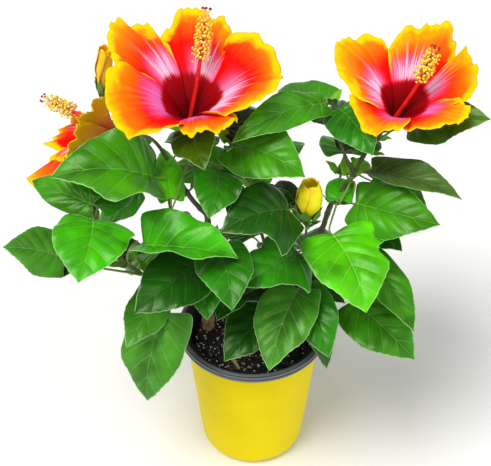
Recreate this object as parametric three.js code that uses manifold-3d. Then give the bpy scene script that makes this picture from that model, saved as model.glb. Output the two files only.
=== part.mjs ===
// Potted hibiscus shrub: two woody stems in a nursery pot that stands in a bright outer pot.
// Millimetres, +Z up. The origin is the middle of the outer pot's flat underside; +Y runs to the back.
// The leaves of one node share one closed solid: thin curved pads on leaf stalks, which meet in a
// collar round the limb that bears them. Neighbouring pieces keep a gap of CLEAR.
import * as THREE from 'three';
import { mergeVertices } from 'three/addons/utils/BufferGeometryUtils.js';
import Module from 'manifold-3d';

const wasm = await Module();
wasm.setup();

// ---- driving dimensions ---------------------------------------------------------------------------
const CLEAR = 0.45;            // gap between neighbouring pieces

const POT = {
  rimRadius: 74,               // outer pot at its top edge
  footRadius: 58,              // its wall, run down to the ground
  footRound: 14,               // rounding of its foot edge
  height: 164.4,               // its top edge above the ground
  wall: 2.2,
  floor: 3,
  facets: 24,
};
const LINER = {
  rimRadius: 82,               // nursery pot: outer edge of its rolled rim
  rimDepth: 9,                 // height of the rolled rim
  rimThickness: 5,
  wall: 1.6,
  floor: 2,
};
const SOIL_LEVEL = 152;        // top of the potting mix
const LEAF = { thickness: 4.2, edge: 0.5 };   // edge: thickness at the rim, as a share
const STALK_RADIUS = 1.7;
const COLLAR_RADIUS = 6.5;     // the swelling round a limb where leaf stalks leave it
const PETAL_THICKNESS = 5;
const COLUMN = { foot: 3.9, tip: 3.2 };                     // the stalk of stamens in a bloom
const ANTHERS = { share: 0.72, radius: 13 };               // their tuft, and where it sits on it
const RIM_BULGE = 0.25;        // most a bloom's rim stands out between two petal tips, as a share
const BLOOM_FACETS = 15;       // three to a petal

// ---- colours --------------------------------------------------------------------------------------
function finish(color, roughness, metalness = 0) {
  return new THREE.MeshStandardMaterial({ color, roughness, metalness });
}
const FINISH = {
  pot: finish(0xf4de00, 0.38),
  liner: finish(0x1b1d21, 0.45),
  mix: finish(0x1c1613, 0.95),
  bark: finish(0x8a6a4c, 0.85),
  greenBark: finish(0x4d6a2b, 0.6),
  leaf: finish(0x2f8f1c, 0.35),
  petal: finish(0xf46a1a, 0.5),
  bud: finish(0xf2c81a, 0.5),
};

// ---- solids ---------------------------------------------------------------------------------------
// A geometry as a closed solid, turned right side out.
function solid(geometry) {
  geometry.deleteAttribute('normal');
  geometry.deleteAttribute('uv');
  const merged = mergeVertices(geometry, 1e-4);
  const vertProperties = new Float32Array(merged.attributes.position.array);
  const triVerts = new Uint32Array(merged.index.array);
  const corner = (k) => new THREE.Vector3().fromArray(vertProperties, 3 * k);
  let volume = 0;
  for (let t = 0; t < triVerts.length; t += 3) {
    volume += corner(triVerts[t]).dot(corner(triVerts[t + 1]).cross(corner(triVerts[t + 2])));
  }
  if (volume < 0) {
    for (let t = 0; t < triVerts.length; t += 3) {
      [triVerts[t], triVerts[t + 1]] = [triVerts[t + 1], triVerts[t]];
    }
  }
  return new wasm.Manifold(new wasm.Mesh({ numProp: 3, vertProperties, triVerts }));
}

function union(solids) {
  return solids.reduce((joined, next) => joined.add(next));
}

// The largest body of a cut solid: what a neighbour cuts off is dropped.
function mainBody(cut) {
  return cut.decompose().reduce((best, body) => (body.volume() > best.volume() ? body : best));
}

const plant = new THREE.Group();

function addNode(name, shape, material) {
  const { vertProperties, triVerts } = shape.getMesh();
  const geometry = new THREE.BufferGeometry();
  geometry.setAttribute('position', new THREE.BufferAttribute(vertProperties, 3));
  geometry.setIndex(new THREE.BufferAttribute(triVerts, 1));
  const mesh = new THREE.Mesh(geometry, material);
  mesh.name = name;
  plant.add(mesh);
}

// A turned shape standing on +Z. Its profile is a list of [radius, height].
function turned(profile, facets) {
  const points = profile.map(([radius, height]) => new THREE.Vector2(radius, height));
  return solid(new THREE.LatheGeometry(points, facets).rotateX(Math.PI / 2));
}

// ---- pot, nursery pot and potting mix -------------------------------------------------------------
function wallRadius(height) {
  return POT.footRadius + ((POT.rimRadius - POT.footRadius) * height) / POT.height;
}

function outerPot() {
  const round = POT.footRound;
  const flat = wallRadius(round) - round;
  const arc = [0, 30, 60, 90].map((deg) => {
    const turn = (deg * Math.PI) / 180;
    return [flat + round * Math.sin(turn), round - round * Math.cos(turn)];
  });
  const inside = wallRadius(POT.floor) - round - POT.wall;
  return turned([
    [0, 0],
    ...arc,
    [POT.rimRadius, POT.height],
    [POT.rimRadius - POT.wall, POT.height],
    [wallRadius(round) - POT.wall, round + POT.floor],
    [inside, POT.floor],
    [0, POT.floor],
  ], POT.facets);
}

const linerBottom = POT.floor + CLEAR;
const linerTop = POT.height + CLEAR + LINER.rimDepth;

function linerRadius(height) {
  return wallRadius(height) - POT.wall - CLEAR - 0.8;
}

function nurseryPot() {
  const shoulder = POT.height + CLEAR;
  const knee = POT.footRound + POT.floor;
  const foot = wallRadius(POT.floor) - POT.footRound - POT.wall - 4;
  return turned([
    [0, linerBottom],
    [foot, linerBottom],
    [linerRadius(knee), knee + 4],
    [linerRadius(shoulder), shoulder],
    [LINER.rimRadius, shoulder],
    [LINER.rimRadius, linerTop - 1],
    [LINER.rimRadius - 1, linerTop],
    [LINER.rimRadius - LINER.rimThickness, linerTop],
    [linerRadius(shoulder) - LINER.wall, shoulder],
    [linerRadius(knee) - LINER.wall, knee + 4 + LINER.floor],
    [0, linerBottom + LINER.floor],
  ], POT.facets);
}

function pottingMix() {
  const shoulder = POT.height + CLEAR;
  const knee = POT.footRound + POT.floor;
  const kneeHeight = knee + 4 + LINER.floor;
  const gap = LINER.wall + CLEAR + 0.4;
  const topShare = (SOIL_LEVEL - kneeHeight) / (shoulder - kneeHeight);
  const kneeRadius = linerRadius(knee) - gap;
  const topRadius = kneeRadius + (linerRadius(shoulder) - gap - kneeRadius) * topShare;
  return turned([
    [0, linerBottom + LINER.floor + 2 * CLEAR],
    [kneeRadius, kneeHeight + CLEAR],
    [topRadius, SOIL_LEVEL],
    [0, SOIL_LEVEL],
  ], POT.facets);
}

// ---- limbs ----------------------------------------------------------------------------------------
const FOOT = SOIL_LEVEL + CLEAR;
const LIMB_STEP = 34;          // length of one straight piece of a limb
const THICK_LIMB = { foot: 4, sides: 7 };
const THIN_LIMB_SIDES = 5;

function curveThrough(route) {
  return new THREE.CatmullRomCurve3(route.map((p) => new THREE.Vector3(...p)));
}

// A tapering limb along a curve. A foot on the potting mix flares; grow widens it all round.
function limbSolid(curve, { foot, tip, flare = 0 }, grow = 0) {
  const sides = foot > THICK_LIMB.foot ? THICK_LIMB.sides : THIN_LIMB_SIDES;
  const length = curve.getLength();
  const steps = Math.max(2, Math.round(length / LIMB_STEP));
  const frames = curve.computeFrenetFrames(steps, false);
  const radiusAt = (share) => foot + (tip - foot) * share + flare * Math.exp(-18 * share) + grow;
  const profile = [new THREE.Vector2(0, 0)];
  for (let k = 0; k <= steps; k += 1) profile.push(new THREE.Vector2(radiusAt(k / steps), k));
  profile.push(new THREE.Vector2(0, steps));
  const geometry = new THREE.LatheGeometry(profile, sides);
  const position = geometry.attributes.position;
  for (let i = 0; i < position.count; i += 1) {
    const k = Math.round(position.getY(i));
    const overhang = k === 0 ? -grow : grow * Number(k === steps);
    const place = curve.getPointAt(k / steps).addScaledVector(frames.tangents[k], overhang);
    place.addScaledVector(frames.normals[k], position.getX(i));
    place.addScaledVector(frames.binormals[k], position.getZ(i));
    if (flare > 0 && k === 0) place.z = FOOT - grow;
    position.setXYZ(i, place.x, place.y, place.z);
  }
  return solid(geometry);
}

// A limb that grows from another starts inside it, at a share of its length, and is cut back to
// its surface. The other points of its route follow.
const LIMBS = {
  left_stem: {
    route: [[-50, 16, FOOT], [-48, 16, 200], [-46, 14, 260], [-48, 12, 320], [-56, 9, 375], [-66, 8, 427]],
    foot: 5.6, tip: 2.6, flare: 3, bark: true,
  },
  right_stem: {
    route: [[34, 22, FOOT], [38, 20, 195], [54, 13, 250], [72, 6, 305], [79, 4, 338], [99, 12, 366],
      [117, 20, 402], [130, 24, 418]],
    foot: 5.4, tip: 2.4, flare: 3, bark: true,
  },
  left_bough: {
    from: ['left_stem', 0.26],
    route: [[-75, -6, 245], [-108, -34, 273], [-139, -46, 319], [-153, -50, 356]],
    foot: 3.4, tip: 2.1,
  },
  low_left_bough: {
    from: ['left_stem', 0.15],
    route: [[-66, -12, 220], [-84, -42, 246]], foot: 3.2, tip: 2.2,
  },
  front_bough: {
    from: ['left_stem', 0.41],
    route: [[-44, -14, 290], [-40, -40, 314]], foot: 3, tip: 2.2,
  },
  slanting_bough: {
    from: ['left_stem', 0.56],
    route: [[-75, 12, 362], [-98, 28, 398], [-120, 40, 402], [-134, 44, 398]],
    foot: 3.2, tip: 2.3,
  },
  furled_bough: {
    from: ['slanting_bough', 0.8],
    route: [[-126, 54, 412], [-152, 69, 429]], foot: 2, tip: 1.8,
  },
  middle_bough: {
    from: ['left_stem', 0.32],
    route: [[-28, 16, 285], [-15, 12, 330], [-14, 12, 376], [-23, 10, 410]],
    foot: 3, tip: 2,
  },
  right_inner_bough: {
    from: ['right_stem', 0.79],
    route: [[90, 18, 390], [80, 25, 424], [77, 30, 444]],
    foot: 2.3, tip: 1.9,
  },
  bud_bough: {
    from: ['right_stem', 0.2],
    route: [[47, -8, 250], [52, -22, 292], [53, -25, 342]],
    foot: 2.8, tip: 1.9,
  },
  low_front_bough: {
    from: ['right_stem', 0.12],
    route: [[42, -4, 216], [46, -28, 244]], foot: 2.9, tip: 2.2,
  },
  low_right_bough: {
    from: ['right_stem', 0.26],
    route: [[80, 7, 236], [108, -4, 254]], foot: 2.9, tip: 2.2,
  },
  back_left_bough: {
    from: ['left_stem', 0.23],
    route: [[-72, 48, 236], [-90, 82, 264], [-96, 104, 292]],
    foot: 3.2, tip: 2.1,
  },
  back_bough: {
    from: ['right_stem', 0.17],
    route: [[20, 52, 222], [6, 86, 250], [2, 106, 280]],
    foot: 3.1, tip: 2.1,
  },
  upper_back_bough: {
    from: ['left_stem', 0.6],
    route: [[-58, 46, 344], [-66, 78, 376]], foot: 2.9, tip: 2.1,
  },
  upper_back_right_bough: {
    from: ['right_stem', 0.71],
    route: [[108, 42, 356], [122, 72, 372]], foot: 2.7, tip: 2.1,
  },
  back_right_bough: {
    from: ['right_stem', 0.33],
    route: [[70, 44, 262], [88, 74, 286], [96, 90, 312]],
    foot: 2.9, tip: 2.1,
  },
};

function limbCurve(name) {
  const { from, route } = LIMBS[name];
  return curveThrough(from ? [limbPoint(...from).toArray(), ...route] : route);
}

// The point of a limb at a share of its length.
function limbPoint(name, share) {
  return limbCurve(name).getPointAt(share);
}

// ---- leaves ---------------------------------------------------------------------------------------
// Breadth of a blade along it, from the heart-shaped end at its stalk to its tip: [share, breadth].
const LEAF_ROWS = [[0.08, 0.76], [0.36, 1], [0.7, 0.72], [1, 0.1]];
const SMALL_LEAF = { width: 46, rows: [[0.34, 1], [1, 0.12]] };   // up to this width a plainer blade

function frameAcross(direction, across) {
  const level = across.clone().addScaledVector(direction, -across.dot(direction)).normalize();
  return { level, up: level.clone().cross(direction) };
}

// A leaf as one thin closed pad: a slim stalk from the collar to the foot of the blade, then the
// blade to its tip. roll turns the blade about its midrib, fold lifts its two halves and arch
// raises the middle of the midrib, as a share of its length.
function leafPad(collar, { foot, tip, width, roll = 0, fold = 12, arch = 0.07 }, grow = 0) {
  const start = new THREE.Vector3(...foot);
  const along = new THREE.Vector3(...tip).sub(start);
  const length = along.length();
  along.normalize();
  const top = new THREE.Vector3(0, 0, 1).addScaledVector(along, -along.z).normalize();
  top.applyAxisAngle(along, (roll * Math.PI) / 180);
  const blade = frameAcross(along, along.clone().cross(top));
  const stem = start.clone().sub(collar).normalize();
  const stalk = frameAcross(stem, blade.level);
  const bend = frameAcross(stem.clone().add(along).normalize(), blade.level);
  const lift = (fold * Math.PI) / 180;
  const rows = [
    { at: collar.clone().addScaledVector(stem, -grow), half: STALK_RADIUS, frame: stalk },
    { at: start, half: STALK_RADIUS, frame: bend },
  ];
  for (const [share, breadth] of width > SMALL_LEAF.width ? LEAF_ROWS : SMALL_LEAF.rows) {
    const at = start.clone().addScaledVector(along, length * share + grow * Number(share === 1));
    at.addScaledVector(blade.up, 4 * arch * length * share * (1 - share));
    rows.push({ at, half: (breadth * width) / 2, frame: blade, raised: Math.sin(lift) });
  }
  const geometry = new THREE.BoxGeometry(2, 1, 2, 2, rows.length - 1, 1);
  const position = geometry.attributes.position;
  for (let i = 0; i < position.count; i += 1) {
    const side = position.getX(i);
    const row = rows[Math.round((position.getY(i) + 0.5) * (rows.length - 1))];
    const half = row.half + grow;
    const raised = row.raised || 0;
    const thick = (LEAF.thickness / 2) * (1 - (1 - LEAF.edge) * Math.abs(side)) + grow;
    const place = row.at.clone().addScaledVector(row.frame.level, side * half * Math.sqrt(1 - raised ** 2));
    place.addScaledVector(row.frame.up, Math.abs(side) * half * raised + position.getZ(i) * thick);
    position.setXYZ(i, place.x, place.y, place.z);
  }
  return solid(geometry);
}

// Leaves spread from one heading round to another, by turns higher and lower on the shoot.
function fanned(collar, { count, from, to, length, width, reach = 36, rise = 26, droop = 22 }) {
  const leaves = [];
  for (let k = 0; k < count; k += 1) {
    const turn = ((from + ((to - from) * k) / (count - 1)) * Math.PI) / 180;
    const lower = k % 2;
    const out = new THREE.Vector3(Math.cos(turn), Math.sin(turn), 0);
    const lean = ((droop + 20 * lower) * Math.PI) / 180;
    const foot = collar.clone().addScaledVector(out, reach - 8 * lower);
    foot.z += rise * (1 - 1.3 * lower);
    const tip = foot.clone().addScaledVector(out, length * Math.cos(lean));
    tip.z -= length * Math.sin(lean);
    leaves.push({ foot: foot.toArray(), tip: tip.toArray(), width });
  }
  return leaves;
}

// All the leaves that one collar bears, before its limbs and neighbours are cut from it.
function sprayParts({ on, leaves, fan }, grow = 0) {
  const collar = limbPoint(...on);
  const pads = (leaves || fanned(collar, fan)).map((leaf) => leafPad(collar, leaf, grow));
  if (pads.length === 1) return pads[0];
  const swelling = new THREE.OctahedronGeometry(COLLAR_RADIUS + grow).translate(...collar.toArray());
  return union([solid(swelling), ...pads]);
}

// Each spray's collar sits on a limb, at a share of its length. The sprays at the back, which are
// out of sight from the front, are fans of like leaves.
const SPRAYS = {
  outer_left_leaves: {
    on: ['left_bough', 0.46],
    leaves: [
      { foot: [-187, -70, 330], tip: [-236, -90, 362], width: 50, roll: -44 },
      { foot: [-168, -28, 306], tip: [-184, -82, 318], width: 34, roll: -15 },
    ],
  },
  left_front_leaf: {
    on: ['left_bough', 0.92],
    leaves: [{ foot: [-155, -58, 366], tip: [-163, -128, 352], width: 74, roll: -8 }],
  },
  left_upper_leaves: {
    on: ['left_bough', 1],
    leaves: [
      { foot: [-156, -46, 377], tip: [-220, -8, 378], width: 35, roll: -40 },
      { foot: [-149, -44, 372], tip: [-119, 4, 360], width: 34, roll: 30 },
      { foot: [-158, -38, 366], tip: [-194, -8, 352], width: 20, roll: -30 },
    ],
  },
  inner_left_leaves: {
    on: ['left_bough', 0.64],
    leaves: [
      { foot: [-107, -66, 342], tip: [-16, -90, 354], width: 84, roll: 32 },
      { foot: [-122, -14, 282], tip: [-148, 20, 278], width: 30, roll: -15 },
    ],
  },
  top_left_leaf: {
    on: ['slanting_bough', 0.27],
    leaves: [{ foot: [-98, -12, 384], tip: [-194, -42, 410], width: 84, roll: -22, fold: 28, arch: 0.16 }],
  },
  lower_left_leaves: {
    on: ['low_left_bough', 1],
    leaves: [
      { foot: [-88, -72, 258], tip: [-111, -116, 172], width: 68, roll: -6 },
      { foot: [-100, -46, 262], tip: [-126, -114, 254], width: 44, roll: -14 },
    ],
  },
  centre_left_leaves: {
    on: ['front_bough', 1],
    leaves: [
      { foot: [-53, -58, 312], tip: [-114, -120, 306], width: 66, roll: -22 },
      { foot: [-34, -64, 340], tip: [-20, -136, 324], width: 56, roll: 4 },
      { foot: [-46, -50, 298], tip: [-46, -104, 280], width: 42 },
    ],
  },
  lower_middle_leaf: {
    on: ['left_stem', 0.33],
    leaves: [{ foot: [-14, -34, 258], tip: [-36, -84, 260], width: 36, roll: -10 }],
  },
  centre_leaves: {
    on: ['bud_bough', 0.64],
    leaves: [
      { foot: [42, -44, 314], tip: [-12, -98, 318], width: 62, roll: -20 },
      { foot: [40, -22, 268], tip: [-18, -60, 266], width: 42, roll: -25 },
    ],
  },
  upper_centre_leaves: {
    on: ['bud_bough', 0.93],
    leaves: [
      { foot: [34, -36, 362], tip: [-30, -80, 374], width: 62, roll: -28 },
      { foot: [31, -6, 342], tip: [2, 30, 342], width: 32, roll: -20 },
      { foot: [39, 0, 336], tip: [28, 40, 342], width: 32 },
    ],
  },
  lower_front_leaves: {
    on: ['low_front_bough', 1],
    leaves: [
      { foot: [46, -50, 268], tip: [15, -124, 228], width: 62 },
      { foot: [50, -38, 260], tip: [76, -106, 228], width: 50, roll: 10 },
      { foot: [58, -22, 240], tip: [82, -62, 164], width: 36 },
      { foot: [20, -34, 232], tip: [-30, -96, 216], width: 60, roll: -10 },
    ],
  },
  right_front_leaf: {
    on: ['right_stem', 0.67],
    leaves: [{ foot: [79, -38, 332], tip: [108, -118, 304], width: 84, roll: 6 }],
  },
  low_right_leaves: {
    on: ['low_right_bough', 1],
    leaves: [
      { foot: [106, -28, 232], tip: [166, -88, 208], width: 66, roll: 26 },
      { foot: [118, -12, 276], tip: [164, -84, 246], width: 48, roll: 4, fold: 26 },
      { foot: [122, 6, 302], tip: [152, -22, 298], width: 28, roll: 16 },
    ],
  },
  low_inner_right_leaf: {
    on: ['low_right_bough', 0.3],
    leaves: [{ foot: [58, -4, 244], tip: [96, -38, 240], width: 30, roll: 16 }],
  },
  right_leaves: {
    on: ['right_stem', 0.77],
    leaves: [
      { foot: [104, -2, 344], tip: [182, -44, 352], width: 60, roll: 34 },
      { foot: [120, 16, 372], tip: [204, -30, 376], width: 42, roll: 14, fold: 34 },
      { foot: [86, -4, 350], tip: [87, 32, 353], width: 30 },
      { foot: [101, 16, 372], tip: [119, 34, 368], width: 19, roll: 20 },
    ],
  },
  upper_right_leaves: {
    on: ['right_stem', 0.9],
    leaves: [
      { foot: [160, 44, 412], tip: [226, 4, 444], width: 50, roll: 40 },
      { foot: [112, 40, 384], tip: [132, 70, 372], width: 22, roll: 30 },
      { foot: [102, 40, 380], tip: [100, 78, 372], width: 34 },
    ],
  },
  top_middle_leaves: {
    on: ['right_inner_bough', 1],
    leaves: [
      { foot: [74, 44, 434], tip: [24, 94, 418], width: 44, roll: -24 },
      { foot: [84, 18, 450], tip: [112, -36, 452], width: 50, roll: 20 },
      { foot: [68, 22, 448], tip: [-20, -32, 444], width: 38, roll: -30 },
    ],
  },
  middle_leaves: {
    on: ['middle_bough', 1],
    leaves: [
      { foot: [-20, 0, 416], tip: [48, -44, 412], width: 62, roll: 26 },
      { foot: [-30, 22, 414], tip: [8, 60, 412], width: 36, roll: 24 },
    ],
  },
  small_middle_leaves: {
    on: ['middle_bough', 0.75],
    leaves: [
      { foot: [-13, -2, 378], tip: [-26, 32, 386], width: 30 },
      { foot: [-2, 2, 369], tip: [20, 24, 358], width: 24, roll: 25 },
      { foot: [-16, -10, 372], tip: [-26, -46, 366], width: 18 },
    ],
  },
  leaves_under_bloom: {
    on: ['left_stem', 0.85],
    leaves: [
      { foot: [-60, -8, 436], tip: [-46, -62, 434], width: 44, roll: 8 },
      { foot: [-34, -16, 396], tip: [-43, -74, 384], width: 48, roll: -6 },
      { foot: [-86, -12, 372], tip: [-92, 36, 384], width: 24 },
    ],
  },
  back_left_leaves: {
    on: ['back_left_bough', 1],
    fan: { count: 4, from: 60, to: 190, length: 74, width: 58 },
  },
  back_left_low_leaves: {
    on: ['back_left_bough', 0.35],
    fan: { count: 2, from: 105, to: 165, length: 66, width: 52, rise: 4 },
  },
  back_leaves: {
    on: ['back_bough', 1],
    fan: { count: 3, from: 62, to: 165, length: 78, width: 60 },
  },
  back_low_leaves: {
    on: ['back_bough', 0.34],
    fan: { count: 3, from: 25, to: 125, length: 68, width: 54, rise: 8 },
  },
  upper_back_leaves: {
    on: ['upper_back_bough', 1],
    fan: { count: 3, from: 30, to: 155, length: 72, width: 58, rise: 10 },
  },
  upper_back_right_leaves: {
    on: ['upper_back_right_bough', 1],
    fan: { count: 3, from: 40, to: 130, length: 66, width: 54, rise: 8 },
  },
  back_right_leaves: {
    on: ['back_right_bough', 1],
    fan: { count: 3, from: -25, to: 80, length: 74, width: 56, rise: 4 },
  },
};

// ---- blooms and buds ------------------------------------------------------------------------------
// A petal is given by the reach of its tip from the throat, in order round the bloom.
const BLOOMS = {
  left_bloom: {
    throat: [-58, 10, 447], base: [-66, 8, 425], columnTip: [-44, 54, 536],
    petals: [[83, 48, 41], [2, 88, 67], [-83, 52, 60], [-74, -62, 34], [43, -73, 33]],
  },
  right_bloom: {
    throat: [147, 22, 437], base: [131, 24, 421], columnTip: [174, 36, 504],
    petals: [[72, 40, 22], [31, 69, 61], [-64, 57, 38], [-60, -54, 33], [39, -66, 34]],
  },
  side_bloom: {
    throat: [-150, 42, 403], base: [-137, 45, 397], columnTip: [-217, 80, 417],
    petals: [[-8, 42, 12], [-46, 46, -32], [-81, -16, -50], [-33, -56, 2], [-17, -30, 42]],
  },
};
const BLOOM_RINGS = [[0, -1], [0.5, -1], [1, -1], [1, 1], [0.5, 1], [0, 1]];   // [share, face]

// The reach of the bloom's rim in one direction: it rounds out from petal tip to petal tip.
function rimReach(petals, turn) {
  const count = petals.length;
  const at = (((turn / (2 * Math.PI)) * count) % count + count) % count;
  const k = Math.floor(at + 1e-6) % count;
  const share = at - Math.floor(at + 1e-6);
  const near = new THREE.Vector3(...petals[k]);
  const far = new THREE.Vector3(...petals[(k + 1) % count]);
  const bulge = Math.min(RIM_BULGE, 0.96 / Math.cos(near.angleTo(far) / 2) - 1);
  return near.lerp(far, share).multiplyScalar(1 + bulge * Math.sin(Math.PI * share));
}

function bloomAxis(petals) {
  const axis = new THREE.Vector3();
  petals.forEach((petal, k) => {
    const next = petals[(k + 1) % petals.length];
    axis.add(new THREE.Vector3(...petal).cross(new THREE.Vector3(...next)));
  });
  return axis.normalize();
}

function bloomSolid({ throat, base, columnTip, petals }, grow = 0) {
  const axis = bloomAxis(petals);
  const last = BLOOM_RINGS.length - 1;
  const profile = BLOOM_RINGS.map(([share], k) => new THREE.Vector2(k % last ? 1 + share : 0, k));
  const geometry = new THREE.LatheGeometry(profile, BLOOM_FACETS);
  const position = geometry.attributes.position;
  for (let i = 0; i < position.count; i += 1) {
    const [share, face] = BLOOM_RINGS[Math.round(position.getY(i))];
    const reach = rimReach(petals, Math.atan2(position.getZ(i), position.getX(i)));
    reach.setLength(share * (reach.length() + grow));
    reach.addScaledVector(axis, face * (PETAL_THICKNESS / 2 + grow));
    position.setXYZ(i, reach.x + throat[0], reach.y + throat[1], reach.z + throat[2]);
  }
  const column = limbSolid(curveThrough([base, throat, columnTip]), COLUMN, grow);
  const anthers = new THREE.Vector3(...throat).lerp(new THREE.Vector3(...columnTip), ANTHERS.share);
  const tuft = new THREE.OctahedronGeometry(ANTHERS.radius + grow).translate(...anthers.toArray());
  return union([solid(geometry), column, solid(tuft)]);
}

// A plump bud on its limb: its length runs from base to tip.
function budSolid({ base, tip, radius }, grow = 0) {
  const length = new THREE.Vector3(...tip).distanceTo(new THREE.Vector3(...base)) + 2 * grow;
  const swell = [0.35, 0.85, 1, 0.8, 0.45];
  const profile = [new THREE.Vector2(0, 0)];
  swell.forEach((share, k) => profile.push(new THREE.Vector2(radius * share + grow, (length * k) / 4)));
  profile.push(new THREE.Vector2(0, length));
  const geometry = new THREE.LatheGeometry(profile, 7).rotateX(Math.PI / 2);
  const lean = new THREE.Vector3(...tip).sub(new THREE.Vector3(...base)).normalize();
  const turned = new THREE.Quaternion().setFromUnitVectors(new THREE.Vector3(0, 0, 1), lean);
  const start = new THREE.Vector3(...base).addScaledVector(lean, -grow);
  return solid(geometry.applyQuaternion(turned).translate(start.x, start.y, start.z));
}

const BUDS = {
  opening_bud: { base: [53, -25, 340], tip: [56, -24, 388], radius: 13 },
  furled_bloom: { base: [-152, 69, 427], tip: [-143, 70, 483], radius: 8.5 },
};

// ---- assembly -------------------------------------------------------------------------------------
addNode('outer_pot', outerPot(), FINISH.pot);
addNode('nursery_pot', nurseryPot(), FINISH.liner);
addNode('potting_mix', pottingMix(), FINISH.mix);

// Cutters of everything that already stands, each with the clearance round it.
const standing = [];

function place(name, shape, cutter, material) {
  const box = shape.boundingBox();
  const near = standing.filter(({ reach }) => [0, 1, 2].every((axis) => (
    reach.min[axis] < box.max[axis] && box.min[axis] < reach.max[axis])));
  const cut = near.reduce((rest, { solidShape }) => rest.subtract(solidShape), shape);
  addNode(name, mainBody(cut), material);
  standing.push({ solidShape: cutter, reach: cutter.boundingBox() });
}

for (const [name, limb] of Object.entries(LIMBS)) {
  const curve = limbCurve(name);
  const material = limb.bark ? FINISH.bark : FINISH.greenBark;
  place(name, limbSolid(curve, limb), limbSolid(curve, limb, CLEAR), material);
}
for (const [name, bloom] of Object.entries(BLOOMS)) {
  place(name, bloomSolid(bloom), bloomSolid(bloom, CLEAR), FINISH.petal);
}
for (const [name, bud] of Object.entries(BUDS)) {
  place(name, budSolid(bud), budSolid(bud, CLEAR), FINISH.bud);
}
for (const [name, spray] of Object.entries(SPRAYS)) {
  place(name, sprayParts(spray), sprayParts(spray, CLEAR), FINISH.leaf);
}

export default plant;
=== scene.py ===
"""A flowering shrub in its pot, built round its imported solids.

Each limb, mass of leaves and bloom of the frame is replaced by a modelled piece in the same
place. Everything is in metres, +Z up, with the origin under the middle of the pot.
"""
import math
import random

import bpy
import numpy as np
from mathutils import Matrix, Vector, noise


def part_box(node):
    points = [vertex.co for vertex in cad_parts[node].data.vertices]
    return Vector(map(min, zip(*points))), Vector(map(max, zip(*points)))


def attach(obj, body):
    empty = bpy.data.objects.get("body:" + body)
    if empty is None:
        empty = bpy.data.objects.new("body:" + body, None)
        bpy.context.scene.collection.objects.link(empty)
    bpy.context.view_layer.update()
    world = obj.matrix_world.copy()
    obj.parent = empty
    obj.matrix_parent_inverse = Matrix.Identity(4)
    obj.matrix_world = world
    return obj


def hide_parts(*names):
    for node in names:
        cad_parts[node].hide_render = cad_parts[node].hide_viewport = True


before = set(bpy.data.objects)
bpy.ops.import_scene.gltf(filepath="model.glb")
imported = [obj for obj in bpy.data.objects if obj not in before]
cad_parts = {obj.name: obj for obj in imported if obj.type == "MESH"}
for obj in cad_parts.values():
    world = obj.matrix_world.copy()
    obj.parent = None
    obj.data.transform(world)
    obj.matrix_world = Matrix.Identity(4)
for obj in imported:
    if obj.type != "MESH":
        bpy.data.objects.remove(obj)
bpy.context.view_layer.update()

bl_info = {
    "name": "Potted Shrub",
    "version": (1, 0, 0),
    "blender": (4, 5, 0),
    "location": "3D View > Sidebar > Shrub",
    "description": "Builds a flowering shrub in its pot",
    "category": "Add Mesh",
}

MM = 0.001
SEED = 11
ROUND = 6.28    # a whole turn, for random phases
UP = np.array([0.0, 0.0, 1.0])


def tone(red, green, blue):
    """A colour given as display values from 0 to 255, as the shader's linear colour."""
    shares = [value / 255 for value in (red, green, blue)]
    return tuple(s / 12.92 if s <= 0.04045 else ((s + 0.055) / 1.055) ** 2.4 for s in shares)


# ---- settings -------------------------------------------------------------------------------------
# Each makes one kind of property from its name, description, default and limits.
def color_setting(name, description, default):
    return bpy.props.FloatVectorProperty(name=name, description=description, default=default,
                                         min=0, max=1, subtype="COLOR")


def length_setting(name, description, default, low, high):
    return bpy.props.FloatProperty(name=name, description=description, default=default, min=low,
                                   max=high, unit="LENGTH")


def share_setting(name, description, default, high):
    return bpy.props.FloatProperty(name=name, description=description, default=default, min=0,
                                   max=high, subtype="FACTOR")


def number_setting(name, description, default, low, high):
    return bpy.props.FloatProperty(name=name, description=description, default=default, min=low,
                                   max=high)


def count_setting(name, description, default, low, high):
    return bpy.props.IntProperty(name=name, description=description, default=default, min=low,
                                 max=high)


# ---- small tools ----------------------------------------------------------------------------------
def only(obj):
    """Leaves one object selected and active."""
    bpy.ops.object.select_all(action="DESELECT")
    obj.select_set(True)
    bpy.context.view_layer.objects.active = obj
    return obj


def apply_modifiers(obj):
    """Turns an object's modifiers into mesh."""
    only(obj)
    for modifier in list(obj.modifiers):
        bpy.ops.object.modifier_apply(modifier=modifier.name)
    return obj


def settle(obj):
    """Puts an object's place, turn and size into its mesh."""
    only(obj)
    bpy.ops.object.transform_apply(location=True, rotation=True, scale=True)
    return obj


def joined(pieces, name):
    """Joins pieces into the first one and names it."""
    bpy.ops.object.select_all(action="DESELECT")
    for piece in pieces:
        piece.select_set(True)
    whole = pieces[0]
    bpy.context.view_layer.objects.active = whole
    if len(pieces) > 1:
        bpy.ops.object.join()
    only(whole)
    bpy.ops.object.material_slot_remove_unused()
    whole.name = name
    whole.data.name = name
    return whole


def copy_of(master):
    """A copy of a modelled piece with a mesh of its own."""
    twin = master.copy()
    twin.data = master.data.copy()
    bpy.context.collection.objects.link(twin)
    return twin


def discard(obj):
    """Removes a master that has been copied."""
    mesh = obj.data
    bpy.data.objects.remove(obj)
    bpy.data.meshes.remove(mesh)


def coords(obj):
    """The places of an object's vertices."""
    flat = np.empty(3 * len(obj.data.vertices))
    obj.data.vertices.foreach_get("co", flat)
    return flat.reshape(-1, 3)


def set_coords(obj, places):
    """Moves an object's vertices to new places."""
    obj.data.vertices.foreach_set("co", np.ascontiguousarray(places, dtype=float).ravel())
    obj.data.update()


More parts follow.
